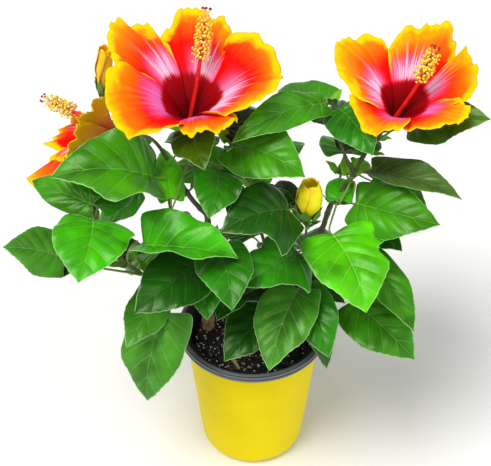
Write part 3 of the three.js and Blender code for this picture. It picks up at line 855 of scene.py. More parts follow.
# A leaf: the shares of its mass's box at its foot and its tip, its width in millimetres, its
# tint, and how it is rolled, folded, arched and lobed. A mass: its limb, the share of the limb's
# length at its collar, and its leaves.
MASSES = {
    "outer_left_leaves": ("left_bough", 0.46, [
        ((0.36, 0.42, 0.64), (0.01, 0.16, 0.94), 50, "soft", {"roll": -44}),
        ((0.50, 0.96, 0.41), (0.38, 0.26, 0.53), 34, "dark", {"roll": -15})]),
    "left_front_leaf": ("left_bough", 0.92, [
        ((0.52, 0.90, 0.66), (0.41, 0.01, 0.29), 74, "vivid",
         {"roll": -8, "lobes": [(-1, 0.22, 0.14)]})]),
    "left_upper_leaves": ("left_bough", 1, [
        ((0.63, 0.15, 0.60), (0.01, 0.78, 0.62), 35, "fresh", {"roll": -40}),
        ((0.69, 0.18, 0.49), (0.98, 0.98, 0.23), 34, "mid", {"roll": 30}),
        ((0.61, 0.28, 0.36), (0.26, 0.78, 0.05), 20, "deep", {"roll": -30})]),
    "inner_left_leaves": ("left_bough", 0.64, [
        ((0.32, 0.37, 0.63), (1.00, 0.19, 0.74), 84, "vivid",
         {"roll": 8, "fold": 40, "lobes": [(1, 0.12, 0.10)], "waves": 1.3}),
        ((0.21, 0.75, 0.06), (0.01, 0.99, 0.02), 30, "dark", {"roll": -15})]),
    "top_left_leaf": ("slanting_bough", 0.27, [
        ((0.74, 0.72, 0.43), (0.01, 0.33, 0.70), 84, "fresh",
         {"roll": -22, "fold": 28, "arch": 0.16, "waves": 1.6})]),
    "lower_left_leaves": ("low_left_bough", 1, [
        ((0.69, 0.58, 0.84), (0.32, 0.07, 0.01), 68, "soft", {"roll": -6}),
        ((0.50, 0.88, 0.88), (0.09, 0.09, 0.80), 44, "soft", {"roll": -14})]),
    "centre_left_leaves": ("front_bough", 1, [
        ((0.56, 0.76, 0.49), (0.02, 0.16, 0.40), 66, "deep", {"roll": -22}),
        ((0.72, 0.70, 0.89), (0.84, 0.01, 0.66), 56, "mid", {"roll": 4}),
        ((0.62, 0.84, 0.29), (0.62, 0.32, 0.03), 42, "mid", {})]),
    "lower_middle_leaf": ("left_stem", 0.33, [
        ((0.76, 0.52, 0.60), (0.23, 0.01, 0.67), 36, "deep", {"roll": -10})]),
    "centre_leaves": ("bud_bough", 0.64, [
        ((0.79, 0.66, 0.68), (0.09, 0.03, 0.73), 62, "mid",
         {"roll": -20, "lobes": [(-1, 0.30, 0.26), (1, 0.5, -0.12)]}),
        ((0.76, 0.92, 0.05), (0.02, 0.47, 0.03), 42, "dark", {"roll": -25})]),
    "upper_centre_leaves": ("bud_bough", 0.93, [
        ((0.72, 0.40, 0.54), (0.02, 0.05, 0.73), 62, "deep",
         {"roll": -28, "lobes": [(-1, 0.30, 0.26), (-1, 0.62, -0.12)]}),
        ((0.69, 0.63, 0.23), (0.37, 0.92, 0.23), 32, "deep", {"roll": -20}),
        ((0.78, 0.68, 0.14), (0.65, 1.00, 0.23), 32, "dark", {})]),
    "lower_front_leaves": ("low_front_bough", 1, [
        ((0.66, 0.72, 0.97), (0.40, 0.02, 0.60), 62, "soft", {}),
        ((0.70, 0.83, 0.89), (0.92, 0.19, 0.60), 50, "mid", {"roll": 10}),
        ((0.76, 0.98, 0.71), (0.97, 0.60, 0.01), 36, "deep", {}),
        ((0.44, 0.87, 0.63), (0.02, 0.28, 0.49), 60, "deep",
         {"roll": -10, "lobes": [(-1, 0.3, 0.18), (-1, 0.58, -0.12), (1, 0.36, 0.14)]})]),
    "right_front_leaf": ("right_stem", 0.67, [
        ((0.36, 0.68, 0.75), (0.74, 0.02, 0.05), 84, "bright",
         {"roll": 6, "lobes": [(-1, 0.20, 0.22), (-1, 0.45, -0.08)]})]),
    "low_right_leaves": ("low_right_bough", 1, [
        ((0.18, 0.64, 0.25), (0.97, 0.03, 0.02), 66, "fresh", {"roll": 26}),
        ((0.34, 0.80, 0.67), (0.94, 0.07, 0.38), 48, "fresh", {"roll": 4, "fold": 26}),
        ((0.39, 0.98, 0.92), (0.79, 0.70, 0.88), 28, "deep", {"roll": 16})]),
    "low_inner_right_leaf": ("low_right_bough", 0.3, [
        ((0.05, 0.70, 0.59), (0.97, 0.03, 0.42), 30, "deep", {"roll": 16})]),
    "right_leaves": ("right_stem", 0.77, [
        ((0.24, 0.58, 0.12), (0.83, 0.09, 0.26), 60, "fresh", {"roll": 34}),
        ((0.36, 0.78, 0.60), (0.99, 0.26, 0.66), 42, "grey", {"roll": 14, "fold": 34}),
        ((0.11, 0.55, 0.22), (0.12, 0.97, 0.27), 30, "vivid", {}),
        ((0.22, 0.78, 0.60), (0.36, 0.99, 0.53), 19, "young", {"roll": 20})]),
    "upper_right_leaves": ("right_stem", 0.9, [
        ((0.53, 0.57, 0.51), (0.99, 0.07, 0.91), 50, "olive", {"roll": 40}),
        ((0.19, 0.52, 0.17), (0.33, 0.89, 0.03), 22, "deep", {"roll": 30}),
        ((0.12, 0.52, 0.12), (0.11, 0.99, 0.03), 34, "dark", {})]),
    "top_middle_leaves": ("right_inner_bough", 1, [
        ((0.70, 0.61, 0.36), (0.33, 0.99, 0.04), 44, "fresh", {"roll": -24}),
        ((0.77, 0.42, 0.55), (0.97, 0.01, 0.30), 50, "mid", {"roll": 20}),
        ((0.65, 0.45, 0.64), (0.01, 0.04, 0.56), 38, "fresh", {"roll": -30, "waves": 1.8})]),
    "middle_leaves": ("middle_bough", 1, [
        ((0.15, 0.45, 0.34), (0.98, 0.06, 0.23), 62, "fresh", {"roll": 26}),
        ((0.02, 0.65, 0.28), (0.49, 0.99, 0.23), 36, "dark", {"roll": 24})]),
    "small_middle_leaves": ("middle_bough", 0.75, [
        ((0.34, 0.56, 0.68), (0.09, 0.99, 0.94), 30, "deep", {}),
        ((0.55, 0.61, 0.40), (0.97, 0.89, 0.06), 24, "fresh", {"roll": 25}),
        ((0.28, 0.46, 0.50), (0.09, 0.01, 0.31), 18, "mid", {})]),
    "leaves_under_bloom": ("left_stem", 0.85, [
        ((0.46, 0.60, 0.85), (0.62, 0.11, 0.83), 44, "olive", {"roll": 8}),
        ((0.76, 0.53, 0.34), (0.66, 0.01, 0.18), 48, "mid", {"roll": -6}),
        ((0.22, 0.40, 0.03), (0.10, 1.00, 0.20), 32, "bright",
         {"fold": 2, "curl": 0.05, "arch": 0.02})]),
}

# A fan at the back: its limb and share, the count of its leaves, the headings it spreads
# between in degrees, and a leaf's length, width and rise over its collar in millimetres.
FANS = {
    "back_left_leaves": ("back_left_bough", 1, 4, 60, 190, 74, 58, 26),
    "back_left_low_leaves": ("back_left_bough", 0.35, 2, 105, 165, 66, 52, 4),
    "back_leaves": ("back_bough", 1, 3, 62, 165, 78, 60, 26),
    "back_low_leaves": ("back_bough", 0.34, 3, 25, 125, 68, 54, 8),
    "upper_back_leaves": ("upper_back_bough", 1, 3, 30, 155, 72, 58, 10),
    "upper_back_right_leaves": ("upper_back_right_bough", 1, 3, 40, 130, 66, 54, 8),
    "back_right_leaves": ("back_right_bough", 1, 3, -25, 80, 74, 56, 4),
}
FAN_TINTS = ("fresh", "mid", "vivid", "deep", "soft", "mid", "fresh")


def fan_leaves(name, rng):
    """The leaves of a fan, by turns higher and lower on the shoot."""
    limb, share, count, start, stop, length, width, lift = FANS[name]
    collar = at_share(limb, share)[0]
    leaves = []
    for k in range(count):
        turn = math.radians(start + (stop - start) * k / (count - 1))
        lower = k % 2    # 1 for the leaves that sit lower, lean more and stand closer in
        out = np.array([math.cos(turn), math.sin(turn), 0.0])
        lean = math.radians(22 + 20 * lower)
        foot = collar + (out * (36 - 8 * lower) + UP * lift * (1 - 1.3 * lower)) * MM
        tip = foot + (out * math.cos(lean) - UP * math.sin(lean)) * length * MM
        leaves.append((foot, tip, width, rng.choice(FAN_TINTS), {"roll": rng.uniform(-8, 8)}))
    return limb, share, leaves


def mass_leaves(name):
    """The leaves of a mass, with their places in the frame."""
    limb, share, rows = MASSES[name]
    leaves = [(in_box(name, foot), in_box(name, tip), width, tint, bends)
              for foot, tip, width, tint, bends in rows]
    return limb, share, leaves


def young_leaves(collar, heading, rng, count):
    """Small half-open leaves that stand round the tip of a shoot."""
    leaves = []
    start = rng.uniform(0, ROUND)
    across = unit(np.cross(heading, [0.3, 0.9, 0.1]))
    for k in range(count):
        out = turned(across, heading, start + 2.4 * k)
        lean = unit(heading * 0.45 + out * rng.uniform(0.8, 1.3) + UP * 0.2)
        size = rng.uniform(0.012, 0.024)
        foot = collar + lean * rng.uniform(0.004, 0.009)
        leaves.append((foot, foot + lean * size, size * 540, "young", {"fold": 14, "curl": 0.2}))
    return leaves


def leaf_finishes(settings):
    """The finishes of a leaf for each tint: blade, vein and rim, over and under."""
    def under(name, color):
        return grown_finish(name, color, 1.15, 0.8, 60, (0.5, 0.66), (1200, 0.2, 0.0005))
    pale = under("Leaf underside", settings.under_color)
    rib = under("Leaf underside vein", scaled(settings.under_color, 1.7))
    low, high = settings.gloss - 0.06, settings.gloss + 0.1
    finishes = {}
    for tint, (blade, vein) in TINTS.items():
        top = grown_finish("Leaf " + tint, blade, 1.4, 0.6, 30, (low, high),
                           (420, 0.10, 0.0010), Specular_IOR_Level=0.36,
                           Specular_Tint=(0.78, 1.0, 0.60, 1.0))
        line = grown_finish("Leaf vein " + tint, vein, 1.15, 0.8, 60, (0.42, 0.55),
                            (900, 0.1, 0.0004), Specular_IOR_Level=0.3)
        edge = tuple(0.7 * v + 0.45 * p for v, p in zip(vein, tone(176, 208, 146)))
        rim = grown_finish("Leaf rim " + tint, edge, 1.1, 0.85, 60, (0.45, 0.6),
                           (900, 0.1, 0.0004), Specular_IOR_Level=0.3)
        finishes[tint] = (top, line, rim, pale, rib, rim)
    return finishes


class SHRUB_OT_leaves(bpy.types.Operator):
    """Builds the leaves of every mass on stalks from its limb"""
    bl_idname = "shrub.leaves"
    bl_label = "Leaves"

    def execute(self, context):
        settings = context.scene.shrub_leaves
        rng = random.Random(SEED)
        model = model_blade(settings)
        finishes = leaf_finishes(settings)
        stalk = grown_finish("Leaf stalk", settings.stalk_color, 1.25, 0.7, 90, (0.4, 0.55),
                             (1500, 0.2, 0.0004))
        routes = []
        for name in [*MASSES, *FANS]:
            limb, share, leaves = fan_leaves(name, rng) if name in FANS else mass_leaves(name)
            collar, heading = at_share(limb, share)
            blades = []
            small = young_leaves(collar, heading, rng, 3 if share > 0.9 else 2)
            for foot, tip, width, tint, bends in [*leaves, *small]:
                leaf = bend_blade(model, settings, rng, foot, tip, width * MM, **bends)
                for slot, material in enumerate(finishes[tint]):
                    leaf.data.materials[slot] = material
                blades.append(leaf)
                routes.append(leaf_stalk(collar, heading, foot, tip, settings))
            finish_piece(joined(blades, name + "_blades"), "leaf", name)
        finish_piece(give(rods("leaf_stalks", routes, 1), stalk), "green_bark")
        discard(model[0])
        return {"FINISHED"}


# ---- blooms and buds ------------------------------------------------------------------------------
# A bloom: shares of its solid's box at its throat, its base, the end of its column and the tips
# of its five petals, in order round it; how far each petal spreads towards the one before it
# and the one after it; and which of its side margins lies on top, 1 the first and -1 the second.
BLOOMS = {
    "left_bloom": ((0.51, 0.49, 0.20), (0.47, 0.48, 0.01), (0.59, 0.75, 0.99),
                   [(1.00, 0.58, 0.58), (0.58, 1.01, 0.76), (0.05, 0.87, 0.72),
                    (0.10, 0.15, 0.47), (0.65, 0.08, 0.45)],
                   [(1.00, 1.00), (0.52, 0.72), (0.54, 0.50), (0.78, 0.74), (0.48, 0.46)], 1),
    "right_bloom": ((0.50, 0.50, 0.22), (0.39, 0.51, 0.03), (0.68, 0.60, 0.99),
                    [(0.99, 0.79, 0.58), (0.73, 0.98, 0.94), (0.07, 0.84, 0.80),
                     (0.22, 0.14, 0.43), (0.85, 0.22, 0.50)],
                    [(0.84, 0.50), (0.85, 0.62), (0.64, 0.73), (0.66, 0.52), (0.74, 0.46)], -1),
    "side_bloom": ((0.93, 0.55, 0.52), (1.00, 0.57, 0.45), (0.15, 0.90, 0.70),
                   [(0.82, 0.78, 0.84), (0.23, 0.98, 0.16), (0.03, 0.26, 0.03),
                    (0.46, 0.18, 0.54), (0.67, 0.30, 1.00)],
                   [(0.50, 0.60), (0.54, 0.50), (0.48, 0.76), (0.56, 0.84), (0.62, 0.95)], 1),
}
PETALS = 5


class ShrubBloomSettings(bpy.types.PropertyGroup):
    eye: color_setting("Eye", "Colour of the dark eye", tone(132, 0, 6))
    halo: color_setting("Halo", "Colour of the pale streaks round the eye", tone(255, 206, 226))
    flush: color_setting("Flush", "Colour of the ring beyond the eye", tone(232, 92, 176))
    heart: color_setting("Heart", "Colour of the middle of a petal", tone(250, 2, 2))
    body: color_setting("Body", "Colour of the outer part of a petal", tone(250, 96, 6))
    margin: color_setting("Margin", "Colour of the ruffled margin", tone(254, 212, 4))
    # Partly painted light: the petals' own orange backs, made lighter to stand in for light shining
    # through the thin petals.
    outside: color_setting("Outside", "Colour of the backs of the petals", tone(255, 186, 6))
    bud: color_setting("Bud", "Colour of the unopened petals", tone(255, 228, 6))
    column: color_setting("Column", "Colour of the stamen column", tone(222, 14, 12))
    anther: color_setting("Anthers", "Colour of the anthers", tone(255, 230, 74))
    calyx: color_setting("Calyx", "Colour of the green cup under a bloom", tone(92, 142, 48))
    petal_thickness: length_setting(
        "Petal thickness", "Thickness of a petal", 0.0006, 0.0001, 0.003)
    ruffle: length_setting("Ruffle", "Height of the waves in a petal's margin", 0.005, 0, 0.02)
    filaments: count_setting("Filaments", "Stamens on a column", 160, 10, 300)


def petal_tones(settings):
    """The colour zones of a petal's inner face, from the throat to the margin."""
    eye, heart = tuple(settings.eye), tuple(settings.heart)
    return [(0.0, scaled(eye, 0.3)), (0.20, eye), (0.33, scaled(eye, 1.5)),
            (0.375, tone(214, 0, 34)), (0.43, heart), (0.58, tone(250, 12, 2)),
            (0.68, tone(250, 58, 4)), (0.79, tuple(settings.body)), (0.90, tone(252, 128, 8)),
            (1.0, tone(254, 160, 8))]


def back_tones(settings, dark_eye):
    """The colour zones of a petal's outer face, where the eye may show through."""
    eye = tuple(settings.eye)
    inmost = [(0.0, tone(196, 52, 40)), (0.22, tone(226, 104, 62)), (0.40, tone(252, 166, 44))]
    if dark_eye:
        inmost = [(0.0, scaled(eye, 0.5)), (0.20, eye), (0.40, scaled(eye, 1.4)),
                  (0.52, tone(238, 84, 30))]
    # The outside colour is lighter than the petals' own orange: painted light in place of light
    # shining through them.
    return inmost + [(0.75, tuple(settings.outside)), (1.0, tone(254, 210, 8))]


def petal_uv(obj, across, along, name="Petal"):
    """Lays a map over a petal from one value of each of its points across it and one along."""
    layer = obj.data.uv_layers.get(name) or obj.data.uv_layers.new(name=name)
    corners = np.empty(len(obj.data.loops), dtype=int)
    obj.data.loops.foreach_get("vertex_index", corners)
    layer.data.foreach_set("uv", np.stack([across[corners], along[corners]], axis=1).ravel())


def rim_reach(tips, turn):
    """The reach of a bloom's rim at a turn counted in petals, on a smooth ring by its tips."""
    at = turn % PETALS
    k = int(at)
    share = at - k
    last, near, far, beyond = (tips[(k + step) % PETALS] for step in (-1, 0, 1, 2))
    return 0.5 * (2 * near + (far - last) * share
                  + (2 * last - 5 * near + 4 * far - beyond) * share ** 2
                  + (3 * near - last - 3 * far + beyond) * share ** 3)


PETAL_GRID = (54, 40)    # faces across and along a petal
PETAL_WAVES = ((1.4, 0.8), (2.9, 0.65), (5.3, 0.42), (8.7, 0.26))    # beats across, and height
PETAL_FRILLS = ((12.3, 0.26), (19.0, 0.13))
PETAL_LOBES = ((1.1, 0.018), (2.9, 0.016), (6.3, 0.012), (11.0, 0.008), (19.0, 0.004))
RUFFLED_SIZE = 0.085    # length of the petal that the ruffle setting is for


def with_phases(beats, rng):
    """Each beat and height with a start of its own."""
    return [(beat, rng.uniform(0, ROUND), height) for beat, height in beats]


def rippled(beats, side, turn=0.0):
    """The sum of the beats at a place between the two sides, -1 and 1."""
    return sum(height * math.sin(beat * side * 3.1 + start + turn)
               for beat, start, height in beats)


def petal(bloom, k, settings, rng, materials):
    """One ruffled petal, its side margins over one neighbour and under the other."""
    throat, base, tips, axis, spreads, hand = bloom
    across, along = PETAL_GRID
    obj, column, row = grid("petal", across, along)
    sides = column / across * 2 - 1
    shares = 0.02 + 0.98 * row / along
    waves, frills, lobes = (with_phases(beats, rng)
                            for beats in (PETAL_WAVES, PETAL_FRILLS, PETAL_LOBES))
    lift = rng.uniform(-0.02, 0.05)
    size = np.linalg.norm(tips[k])
    swing = settings.ruffle * size / RUFFLED_SIZE
    places, reaches, edges = [], [], []
    for side, share in zip(sides, shares):
        rim = rim_reach(tips, k - side * spreads[k][int(side < 0)])
        rounding = 0.14 + 0.86 * (1 - abs(side) ** 3.0) ** 0.5
        reaches.append(share * rounding)
        edges.append((1 - share) * rounding)
        rounding += (1 - 0.8 * side ** 4) * share * rippled(lobes, side)
        reach = share * rounding
        up = swing * rippled(waves, side, 1.3 * reach) * share ** 3 * (0.4 + 0.6 * rounding)
        up += swing * rippled(frills, side) * max(share ** 9, 0.6 * side ** 12 * share)
        up += size * 0.10 * hand * side * reach * (1.25 - reach)
        up += size * (0.12 * math.sin(math.pi * reach) * (1 - side ** 2) * 0.5
                      + lift * reach ** 2 - 0.06 * reach ** 5)
        centre = throat + (base - throat) * 0.75 * (1 - reach) ** 6
        places.append(centre + rim * share * rounding + axis * up)
    set_coords(obj, np.array(places))
    petal_uv(obj, k + (hand * sides + 1) * 0.499, np.array(reaches))
    petal_uv(obj, np.zeros(len(sides)), np.array(edges), "Rim")
    give(obj, *materials)
    return thicken(smooth(obj), settings.petal_thickness, 1, 0)


def bead(name, radius, stretch, divisions=2):
    """A small rounded body, modelled once and copied."""
    bpy.ops.object.select_all(action="DESELECT")
    bpy.ops.mesh.primitive_ico_sphere_add(subdivisions=divisions, radius=radius)
    obj = bpy.context.object
    obj.name = name
    bpy.ops.transform.resize(value=stretch)
    return smooth(settle(obj))


def scatter(master, spots, name):
    """Copies of a body at each place, turned and sized as told, joined."""
    shape = coords(master)
    copies = []
    for place, matrix in spots:
        twin = copy_of(master)
        set_coords(twin, shape @ np.array(matrix).T + place)
        copies.append(twin)
    discard(master)
    return joined(copies, name)


def facing(direction, spin, size=1.0):
    """A matrix that turns the Z axis to a direction, with a spin about it and a size."""
    turn = Vector(direction).to_track_quat("Z", "Y").to_matrix()
    return np.array(turn @ Matrix.Rotation(spin, 3, "Z")) * size


GOLDEN_TURN = 2.39996    # spreads what grows round a stalk without rows
FILAMENT_RADII = (0.0004, 0.0003, 0.00022)
STYLE_RADII = (0.0007, 0.0006, 0.0005)
COLUMN_RADII = (0.0026, 0.0014)    # at its foot and its tip


def stamens(name, throat, base, end, settings, rng, materials):
    """The red column with its filaments, anthers and five stigmas."""
    red, yellow, dark, pale = materials
    root = throat + (base - throat) * 0.6
    route = smooth_path([root, throat + (end - throat) * 0.4 + UP * 0.001, end], 24)
    axis = unit(end - throat)
    length = np.linalg.norm(end - throat)
    shaft = route[route @ axis < (throat + axis * length * 0.90) @ axis]
    routes = [(shaft, np.linspace(*COLUMN_RADII, len(shaft)))]
    across = unit(np.cross(axis, [0.2, 0.3, 0.9]))
    spots = []
    for k in range(settings.filaments):
        share = 0.56 + 0.33 * ((k + 0.5) / settings.filaments) ** 0.9
        foot = route[min(len(route) - 1, int(share * (len(route) - 1)))]
        out = turned(across, axis, k * GOLDEN_TURN)
        reach = rng.uniform(0.0055, 0.0108) * (1.15 - 0.45 * share)
        tip = foot + out * reach + axis * rng.uniform(0.000, 0.005)
        middle = (foot + tip) / 2 - axis * 0.0006
        routes.append(([foot, middle, tip], FILAMENT_RADII))
        spots.append((tip, facing(out + axis * 0.3, k, rng.uniform(0.8, 1.15))))
    pads = []
    for k in range(PETALS):
        out = turned(across, axis, 2 * math.pi * k / PETALS)
        foot = shaft[-1]
        tip = end + out * 0.0042 - axis * 0.0016
        routes.append(([foot, foot + axis * 0.003 + out * 0.0012, tip], STYLE_RADII))
        pads.append((tip, facing(out + axis, 0)))
    column = give(rods(name + "_column", routes[:1], 3), red)
    threads = give(rods(name + "_filaments", routes[1:], 0), pale)
    finish_piece(threads, "bud")
    finish_piece(column, "petal")
    anthers = scatter(bead("anther", 0.00125, (1.3, 0.95, 0.8), 1), spots, name + "_anthers")
    finish_piece(give(anthers, yellow), "bud")
    stigmas = scatter(bead("stigma", 0.0015, (1, 1, 0.7)), pads, name + "_stigmas")
    finish_piece(give(stigmas, dark), "petal")


def wrapped(name, foot, head, radius, blades, breadth, material, swirl=0.0, cut=0.0, point=1.0,
            spin=0.0, across=10, along=14, thickness=0.0005):
    """Blades that wrap a line from its foot to its head, such as a calyx or a furled bud.

    radius and breadth are functions of the share of the length. swirl carries one side of a
    blade outwards, and cut and point shape its end."""
    axis = unit(head - foot)
    length = np.linalg.norm(head - foot)
    start = unit(np.cross(axis, [0.9, 0.2, 0.1]))
    other = np.cross(axis, start)
    made = []
    for k in range(blades):
        obj, column, row = grid(name, across, along)
        side = 1 - column / across * 2
        share = row / along
        turn = 2 * math.pi * k / blades + spin + side * breadth(share) + swirl * share * 2.0
        height = share * (1 - cut * np.abs(side) ** point)
        reach = radius(height) * (1 + swirl * side * 0.35)
        places = foot + np.outer(height * length, axis)
        places = places + np.outer(reach * np.cos(turn), start)
        places = places + np.outer(reach * np.sin(turn), other)
        set_coords(obj, places)
        made.append(thicken(smooth(give(obj, material)), thickness))
    return joined(made, name)


BRACTS = 7


def calyx(name, foot, head, width, material):
    """A green cup of five pointed lobes, with a ring of narrow bracts below it."""
    def cup_radius(v):
        return width * (0.35 + 0.65 * rise(0, 0.5, v) + 0.25 * v ** 3)

    def bract_radius(v):
        return width * (0.38 + 0.95 * v)
    cup = wrapped(name, foot, head, cup_radius, PETALS, lambda v: 0.66 * (1 - v ** 2.2) + 0.02,
                  material, thickness=0.0007)
    axis = unit(head - foot)
    reach = np.linalg.norm(head - foot) * 0.75
    bracts = wrapped(name + "_bracts", foot - axis * 0.002, foot + axis * reach, bract_radius,
                     BRACTS, lambda v: 0.30 * (1 - v ** 2) / (1 + 3 * v) + 0.01, material,
                     spin=0.3, across=4, along=8, thickness=0.0006)
    return joined([cup, bracts], name)


class SHRUB_OT_blooms(bpy.types.Operator):
    """Builds the three open blooms: petals, column, anthers, stigmas and calyx"""
    bl_idname = "shrub.blooms"
    bl_label = "Blooms"

    def execute(self, context):
        settings = context.scene.shrub_blooms
        rng = random.Random(SEED + 1)
        inner = petal_finish("Petal", petal_tones(settings), settings)
        light = petal_finish("Petal of the right bloom", petal_tones(settings), settings,
                             warmth=0.11)
        outer = petal_finish("Petal outside", back_tones(settings, False), settings, False)
        deep = petal_finish("Petal outside with a dark eye", back_tones(settings, True), settings,
                            False)
        red = grown_finish("Stamen column", settings.column, 1.2, 0.7, 200, (0.35, 0.5))
        yellow = grown_finish("Anther", settings.anther, 1.2, 0.78, 400, (0.6, 0.8))
        pale = grown_finish("Filament", tone(250, 196, 96), 1.2, 0.8, 300, (0.5, 0.7))
        dark = grown_finish("Stigma", tone(164, 22, 10), 1.3, 0.7, 400, (0.5, 0.7))
        green = grown_finish("Calyx", settings.calyx, 1.3, 0.7, 120, (0.42, 0.58))
        for name, (throat, base, end, tips, spreads, hand) in BLOOMS.items():
            throat, base, end = (in_box(name, spot) for spot in (throat, base, end))
            reach = [in_box(name, tip) - throat for tip in tips]
            axis = unit(sum(np.cross(reach[k], reach[(k + 1) % PETALS])
                            for k in range(PETALS)))
            bloom = throat, base, reach, axis, spreads, hand
            face = light if name == "right_bloom" else inner
            back = outer if name == "side_bloom" else deep
            petals = [petal(bloom, k, settings, rng, (face, back)) for k in range(PETALS)]
            finish_piece(joined(petals, name + "_petals"), "petal", name)
            stamens(name, throat, base, end, settings, rng, (red, yellow, dark, pale))
            stem = unit(throat - base)
            cup = calyx(name + "_calyx", base - stem * 0.006, base + (throat - base) * 0.5,
                        0.0072, green)
            finish_piece(cup, "green_bark")
        return {"FINISHED"}


def closed_bloom(node, foot, head, gap, radius, breadth, calyx_share, calyx_width, materials,
                 **shape):
    """Petals rolled round each other from their calyx up, standing for one solid."""
    petals, green = materials
    rolled = wrapped(node + "_petals", foot + UP * gap, head, radius, PETALS,
                     lambda v: breadth + 0 * v, petals, **shape)
    finish_piece(rolled, "bud", node)
    cup = calyx(node + "_calyx", foot, foot + (head - foot) * calyx_share, calyx_width, green)
    finish_piece(cup, "green_bark")


class SHRUB_OT_buds(bpy.types.Operator):
    """Builds the opening bud and the furled spent bloom, each in its green calyx"""
    bl_idname = "shrub.buds"
    bl_label = "Bud and Furled Bloom"

    def execute(self, context):
        settings = context.scene.shrub_blooms
        yellow = grown_finish("Bud petal", settings.bud, 1.2, 0.86, 70, (0.45, 0.6),
                              (420, 0.3, 0.0008))
        faded = grown_finish("Furled petal", tone(255, 196, 2), 1.3, 0.95, 90, (0.5, 0.65),
                             (420, 0.4, 0.0010))
        green = bpy.data.materials["Calyx"]

        def round_bud(v):
            return 0.0118 * (0.30 + 0.70 * rise(0, 0.5, v) + 0.03 * np.sin(6 * v)
                             - 0.30 * rise(0.72, 1, v))

        def furled(v):
            return 0.0068 * (0.45 + 0.55 * rise(0, 0.45, v) + 0.06 * np.sin(14 * v)
                             - 0.25 * rise(0.8, 1, v))
        low, high = box_corners("opening_bud")
        middle = (low + high) / 2
        closed_bloom("opening_bud", np.array([*middle[:2], low[2]]),
                     np.array([middle[0] + 0.001, middle[1] + 0.001, high[2] - 0.001]), 0.004,
                     round_bud, 0.95, 0.42, 0.0108, (yellow, green), swirl=0.35, cut=0.10,
                     point=2.4, across=14, along=18)
        low, high = box_corners("furled_bloom")
        middle = (low + high) / 2
        closed_bloom("furled_bloom", np.array([low[0] + 0.004, middle[1], low[2]]),
                     np.array([high[0] - 0.007, middle[1] + 0.001, high[2] - 0.001]), 0.006,
                     furled, 0.85, 0.38, 0.0066, (faded, green), swirl=0.6, cut=0.12,
                     point=2.0, across=12, along=22)
        return {"FINISHED"}


# ---- pot ------------------------------------------------------------------------------------------
class ShrubPotSettings(bpy.types.PropertyGroup):
    pot: color_setting("Pot", "Colour of the outer pot", tone(234, 212, 0))
    liner: color_setting("Liner", "Colour of the nursery pot inside it", tone(24, 25, 28))
    # Painted highlight: the grey painted along the ridges of the liner's rim, standing in for light
    # reflected off the glossy plastic.
    painted_highlight: color_setting(
        "Painted ridge highlights", "Colour of the painted highlights on the ridges of the liner's rim", tone(104, 108, 114))
    mix: color_setting("Potting mix", "Colour of the potting mix", tone(26, 21, 18))
    foot_radius: length_setting("Foot radius", "Radius of the outer pot's foot", 0.058, 0.03, 0.1)
    foot_round: length_setting(
        "Foot rounding", "Radius of the rounding at the foot", 0.014, 0.001, 0.03)
    wall: length_setting("Wall", "Thickness of the outer pot's wall", 0.0022, 0.001, 0.006)
    rim_depth: length_setting("Rim depth", "Height of the liner's rolled rim", 0.009, 0.004, 0.02)
    perlite: count_setting("Perlite", "White grains on the mix", 420, 0, 1000)
    chips: count_setting("Bark chips", "Chips of bark on the mix", 420, 0, 2000)


SPIN_STEPS = 96


def spun(name, profile):
    """A turned body: its profile, radius and height, spun once round the Z axis."""
    mesh = bpy.data.meshes.new(name)
    mesh.from_pydata([(radius, 0, height) for radius, height in profile],
                     [(k, k + 1) for k in range(len(profile) - 1)], [])
    obj = bpy.data.objects.new(name, mesh)
    bpy.context.collection.objects.link(obj)
    only(obj)
    bpy.ops.object.mode_set(mode="EDIT")
    bpy.ops.mesh.select_all(action="SELECT")
    bpy.ops.mesh.spin(steps=SPIN_STEPS, angle=2 * math.pi, center=(0, 0, 0), axis=(0, 0, 1))
    bpy.ops.object.mode_set(mode="OBJECT")
    return recalculate(obj)


def arc(centre, radius, start, stop, steps):
    """Points on an arc between two angles in degrees."""
    angles = np.radians(np.linspace(start, stop, steps))
    return [(centre[0] + radius * math.cos(a), centre[1] + radius * math.sin(a)) for a in angles]


POT_FLOOR = 0.0042    # top of the outer pot's floor, above the ground
FOOT_GROOVE = 0.0012    # how far the middle of its underside is drawn in
LINER_FLOOR = 0.0025    # thickness of the nursery pot's floor
LINER_WALL = 0.0016
LINER_GAP = 0.0012    # from the outer pot's wall
# The rolled rim of the liner: how far in from its widest, and the share of its depth.
RIM_BAND = ((0.0012, 0.00), (0.0002, 0.06), (0.0, 0.16), (0.0003, 0.30), (0.0016, 0.36),
            (0.0017, 0.44), (0.0003, 0.50), (0.0, 0.62), (0.0001, 0.76), (0.0008, 0.90),
            (0.0022, 0.985), (0.0036, 1.0), (0.0050, 0.96), (0.0056, 0.84))
# Where grey highlights are painted on that rim: the middle and half the breadth of a band, as shares
# of it.
HIGHLIGHT_BANDS = ((0.20, 0.24), (0.68, 0.20), (0.99, 0.10))


def between(start, stop, shares):
    """Points of a profile at shares of the way from one point to another."""
    return [(start[0] + (stop[0] - start[0]) * share, start[1] + (stop[1] - start[1]) * share)
            for share in shares]


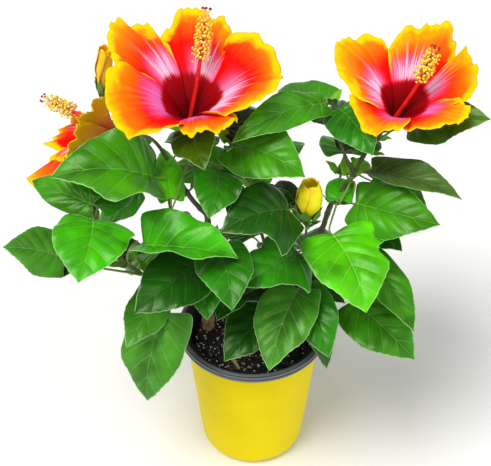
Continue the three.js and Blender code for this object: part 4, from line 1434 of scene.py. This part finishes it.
class SHRUB_OT_pot(bpy.types.Operator):
    """Builds the smooth outer pot with its rounded foot and lip"""
    bl_idname = "shrub.pot"
    bl_label = "Outer Pot"

    def execute(self, context):
        settings = context.scene.shrub_pot
        rim, _, top = box_corners("outer_pot")[1]
        bend, wall, foot = settings.foot_round, settings.wall, settings.foot_radius
        lean = math.degrees(math.atan2(rim - foot, top))
        centre = (foot - bend + 0.001, bend)
        profile = [(0, FOOT_GROOVE), (foot * 0.55, FOOT_GROOVE), (foot * 0.62, 0.0002),
                   (foot * 0.66, 0), (centre[0], 0)]
        profile += arc(centre, bend, -80, -lean, 10)
        profile += between((foot, 0), (rim, top), (0.3, 0.6, 0.9, 0.975))
        profile += arc((rim - wall / 2, top - wall / 2), wall / 2, 0, 180, 7)
        profile += between((rim - wall, top), (foot - wall, 0), (0.03, 0.3, 0.6, 0.85))
        profile += [(centre[0] - 0.004, 0.008), (foot * 0.6, POT_FLOOR), (0, POT_FLOOR)]
        pot = smooth(spun("outer_pot_shell", profile), 40)
        made = Finish("Yellow plastic")
        made.color(made.drift(settings.pot, 1.04, 0.93, 9))
        made.grain(260, 0.36, 0.44, 0.05, 0.0004)
        made.set(Specular_IOR_Level=0.05)
        finish_piece(give(pot, made.material), "pot", "outer_pot")
        return {"FINISHED"}


def liner_finish(settings, rim, top):
    """Black plastic, with grey highlights painted along the ridges on the outside of its rim, in
    place of light reflected off them.
    """
    made = Finish("Black plastic")
    black = made.drift(settings.liner, 1.5, 0.7, 30)
    x, y, height = made.place()
    depth = settings.rim_depth
    painted_highlight = None
    for centre, half in HIGHLIGHT_BANDS:
        off = made.distance(height, top - depth * (1 - centre))
        ridge = made.span(off, depth * half, depth * half * 0.3)
        painted_highlight = ridge if painted_highlight is None else made.math("MAXIMUM", painted_highlight, ridge)
    around = made.math("SQRT", made.plus(made.times(x, x), made.times(y, y)))
    painted_highlight = made.times(painted_highlight, made.span(around, rim - 0.0065, rim - 0.0040))
    # Mixes in the painted grey highlights along the rim's ridges.
    made.color(made.mix(black, tuple(settings.painted_highlight), painted_highlight))
    made.grain(420, 0.30, 0.46, 0.10, 0.0004)
    return made.material


class SHRUB_OT_liner(bpy.types.Operator):
    """Builds the black nursery pot with its rolled, grooved rim"""
    bl_idname = "shrub.liner"
    bl_label = "Nursery Pot"

    def execute(self, context):
        settings = context.scene.shrub_pot
        low, high = box_corners("nursery_pot")
        rim, top, floor = high[0], high[2], low[2]
        depth = settings.rim_depth
        foot = settings.foot_radius - 0.006
        neck = box_corners("outer_pot")[1][0] - settings.wall - LINER_GAP
        profile = [(0, floor), (foot - 0.010, floor), (foot, floor + 0.010)]
        profile += between((foot, floor + 0.010), (neck, top - depth), (0.4, 0.8, 1.0))
        profile += [(rim - inset, top - depth * (1 - share)) for inset, share in RIM_BAND]
        inner = neck - LINER_WALL
        profile += [(inner, top - depth), (inner - (neck - foot) * 0.5, (top + floor) / 2),
                    (foot - 0.004, floor + 0.012), (foot - 0.012, floor + LINER_FLOOR),
                    (0, floor + LINER_FLOOR)]
        liner = smooth(spun("nursery_pot_shell", profile), 50)
        finish_piece(give(liner, liner_finish(settings, rim, top)), "liner", "nursery_pot")
        return {"FINISHED"}


# Noise in the surface of the mix: how fine it is and how high, in metres.
LUMPS = ((38, 0.0030), (95, 0.0022))
CRUMBS = (260, 0.0022)
GRIT = (520, 0.0009)
MIX_CELLS = 150
MIX_DEPTH = 0.006    # the bed is a layer this thick
CHIP_SIZE = (1.5, 0.7, 0.35)    # times 2 mm
WOOD_CHIP_SIZE = (6.4, 3.4, 3.0)    # times that
WOOD_CHIP_AT = (-0.0194, -0.0425)
WOOD_CHIP_TURN = -1.87


def mix_height(x, y, radius):
    """How high the mix stands at a place: lumps, crumbs and a settled edge."""
    spot = Vector((x, y, 0))
    lumps = sum(noise.noise(spot * scale) * height for scale, height in LUMPS)
    crumbs = abs(noise.noise(spot * CRUMBS[0])) * CRUMBS[1] + noise.noise(spot * GRIT[0]) * GRIT[1]
    edge = -0.002 * rise(0.86, 1.0, math.hypot(x, y) / radius)
    return lumps + crumbs + edge


def strewn(rng, radius, top, count, low, high, sink, lean):
    """Places and turns for bodies strewn over the mix, each between two sizes."""
    for _ in range(count):
        turn, out = rng.uniform(0, 2 * math.pi), radius * 0.97 * math.sqrt(rng.random())
        x, y = out * math.cos(turn), out * math.sin(turn)
        size = rng.uniform(low, high)
        upright = np.array([rng.uniform(-lean, lean), rng.uniform(-lean, lean), 1])
        place = np.array([x, y, top + mix_height(x, y, radius) + sink * size])
        yield place, facing(unit(upright), rng.uniform(0, ROUND), size)


def chip(name):
    """A thin splintered chip about 3 mm long, to be copied."""
    bpy.ops.object.select_all(action="DESELECT")
    bpy.ops.mesh.primitive_cube_add(size=0.002)
    obj = bpy.context.object
    obj.name = name
    bpy.ops.transform.resize(value=CHIP_SIZE)
    settle(obj)
    bevel = obj.modifiers.new("Worn edges", "BEVEL")
    bevel.width = 0.0002
    bevel.segments = 1
    apply_modifiers(obj)
    places = coords(obj)
    places[:, 1] *= 1 - 0.35 * (places[:, 0] > 0)
    places[:, 2] += 0.08 * places[:, 0]
    set_coords(obj, places)
    return obj


def mix_bed(settings, radius, top):
    """The crumbly bed: a grid drawn out to a disc and given its lumps."""
    bed, _, _ = grid("potting_mix_bed", MIX_CELLS, MIX_CELLS)
    flat = coords(bed)[:, :2]
    stretch = np.abs(flat).max(axis=1) / np.maximum(np.linalg.norm(flat, axis=1), 1e-9)
    flat = flat * stretch[:, None] * radius
    set_coords(bed, np.c_[flat, [top + mix_height(x, y, radius) for x, y in flat]])
    thicken(smooth(bed), MIX_DEPTH)
    places = coords(bed)
    places[:, :2] *= np.where(places[:, 2:] < top - MIX_DEPTH / 2, 0.97, 1)
    set_coords(bed, places)
    made = Finish("Potting mix")
    made.color(made.drift(settings.mix, 2.6, 0.35, 260))
    made.grain(1500, 0.6, 0.9, 0.8, 0.0015)
    return give(bed, made.material)


class SHRUB_OT_mix(bpy.types.Operator):
    """Builds the crumbly potting mix with its perlite, bark chips and one wood chip"""
    bl_idname = "shrub.mix"
    bl_label = "Potting Mix"

    def execute(self, context):
        settings = context.scene.shrub_pot
        rng = random.Random(SEED + 2)
        radius, _, top = box_corners("potting_mix")[1] - [0.0003, 0, 0.001]
        finish_piece(mix_bed(settings, radius, top), "mix", "potting_mix")
        white = grown_finish("Perlite", tone(240, 238, 232), 1.05, 0.85, 500, (0.75, 0.95),
                             (2200, 0.5, 0.0008))
        brown = grown_finish("Bark chip", tone(84, 58, 58), 1.6, 0.45, 300, (0.5, 0.75),
                             (1500, 0.5, 0.001))
        tan = grown_finish("Wood chip", tone(186, 158, 112), 1.15, 0.75, 260, (0.55, 0.75),
                           (1300, 0.4, 0.001))
        grain = bead("perlite_grain", 0.001, (1, 0.85, 0.8))
        roughen(grain, 0.00025, 900)
        spots = strewn(rng, radius, top, settings.perlite, 0.4, 1.35, 0.0004, 0.6)
        finish_piece(give(smooth(scatter(grain, spots, "perlite")), white), "mix")
        spots = strewn(rng, radius, top, settings.chips, 0.6, 2.0, 0.0003, 0.5)
        chips = scatter(chip("bark_chip"), spots, "bark_chips")
        finish_piece(give(smooth(chips, 40), brown), "mix")
        turn = facing(unit(np.array([0.1, -0.1, 1])), WOOD_CHIP_TURN) @ np.diag(WOOD_CHIP_SIZE)
        spots = [(np.array([*WOOD_CHIP_AT, top + 0.004]), turn)]
        slab = scatter(chip("wood_chip"), spots, "wood_chip")
        finish_piece(give(smooth(slab, 40), tan), "mix")
        return {"FINISHED"}


# ---- stage ----------------------------------------------------------------------------------------
class ShrubStageSettings(bpy.types.PropertyGroup):
    floor: color_setting("Floor", "Colour of the floor", (0.93, 0.93, 0.925))
    key: number_setting("Key light", "Strength of the soft main light", 2.5, 0, 20)
    fill: number_setting("Fill light", "Strength of the soft side light", 0.7, 0, 20)
    sky: number_setting("Sky", "Strength of the even light from all round", 0.42, 0, 5)
    tilt: bpy.props.FloatProperty(
        name="Camera tilt", description="How far the camera looks down", subtype="ANGLE",
        default=math.radians(40), min=0, max=math.pi / 2)
    distance: length_setting(
        "Camera distance", "From the camera to the middle of the plant", 1.2402, 0.2, 5)
    lens: number_setting("Lens", "Focal length of the camera in millimetres", 87.98, 10, 300)


MIDDLE = (-0.008, 0.0, 0.303)    # of the plant, where the camera looks
FLOOR_SIZE = 30
# Each light: where it stands, how wide it is in degrees, and its colour.
LIGHTS = {
    "key": ((-0.8, -0.7, 2.0), 34, (1.0, 0.985, 0.96)),
    "fill": ((1.3, -1.1, 0.9), 50, (0.97, 0.985, 1.0)),
}


def soft_light(name, strength, place, spread, color):
    """Even light from one side, as from a wide softbox far away."""
    light = bpy.data.lights.new(name, "SUN")
    light.angle = math.radians(spread)
    light.energy = strength
    light.color = color
    obj = bpy.data.objects.new(name, light)
    obj.location = place
    obj.rotation_euler = (-Vector(place)).to_track_quat("-Z", "Y").to_euler()
    bpy.context.collection.objects.link(obj)


class SHRUB_OT_stage(bpy.types.Operator):
    """Builds the pale floor, the soft lights and the camera"""
    bl_idname = "shrub.stage"
    bl_label = "Stage"

    def execute(self, context):
        settings = context.scene.shrub_stage
        scene = context.scene
        bpy.ops.object.select_all(action="DESELECT")
        bpy.ops.mesh.primitive_plane_add(size=FLOOR_SIZE)
        floor = context.object
        floor.name = "floor"
        paper = grown_finish("Floor", settings.floor, 1.01, 0.99, 2, (0.7, 0.8), (60, 0.02, 0.0005))
        give(floor, paper)
        for name, light in LIGHTS.items():
            soft_light(name, getattr(settings, name), *light)
        world = scene.world or bpy.data.worlds.new("Studio")
        scene.world = world
        world.use_nodes = True
        sky = world.node_tree.nodes["Background"]
        sky.inputs["Color"].default_value = (1, 1, 1, 1)
        sky.inputs["Strength"].default_value = settings.sky
        scene.view_settings.view_transform = "Standard"
        lens = bpy.data.cameras.new("camera")
        lens.lens = settings.lens
        lens.sensor_width = 36
        camera = bpy.data.objects.new("camera", lens)
        back = Vector((0, -math.cos(settings.tilt), math.sin(settings.tilt)))
        camera.location = Vector(MIDDLE) + back * settings.distance
        camera.rotation_euler = (math.pi / 2 - settings.tilt, 0, 0)
        scene.collection.objects.link(camera)
        scene.camera = camera
        return {"FINISHED"}


# ---- panel and run --------------------------------------------------------------------------------
SETTINGS = {
    "shrub_pot": ShrubPotSettings, "shrub_limbs": ShrubLimbSettings,
    "shrub_leaves": ShrubLeafSettings, "shrub_blooms": ShrubBloomSettings,
    "shrub_stage": ShrubStageSettings,
}
OPERATORS = (SHRUB_OT_stage, SHRUB_OT_pot, SHRUB_OT_liner, SHRUB_OT_mix, SHRUB_OT_limbs,
             SHRUB_OT_leaves, SHRUB_OT_blooms, SHRUB_OT_buds)


class SHRUB_PT_panel(bpy.types.Panel):
    """Lists the shrub's pieces and their settings"""
    bl_idname = "SHRUB_PT_panel"
    bl_label = "Potted Shrub"
    bl_space_type = "VIEW_3D"
    bl_region_type = "UI"
    bl_category = "Shrub"

    def draw(self, context):
        for operator in OPERATORS:
            self.layout.operator(operator.bl_idname)
        for name, kind in SETTINGS.items():
            box = self.layout.box()
            for key in kind.__annotations__:
                box.prop(getattr(context.scene, name), key)


def register():
    for kind in (*SETTINGS.values(), *OPERATORS, SHRUB_PT_panel):
        bpy.utils.register_class(kind)
    for name, kind in SETTINGS.items():
        setattr(bpy.types.Scene, name, bpy.props.PointerProperty(type=kind))


def unregister():
    for name in SETTINGS:
        delattr(bpy.types.Scene, name)
    for kind in (SHRUB_PT_panel, *reversed(OPERATORS), *SETTINGS.values()):
        bpy.utils.unregister_class(kind)


def main():
    register()
    for operator in OPERATORS:
        group, action = operator.bl_idname.split(".")
        getattr(getattr(bpy.ops, group), action)()


if __name__ == "__main__":
    main()
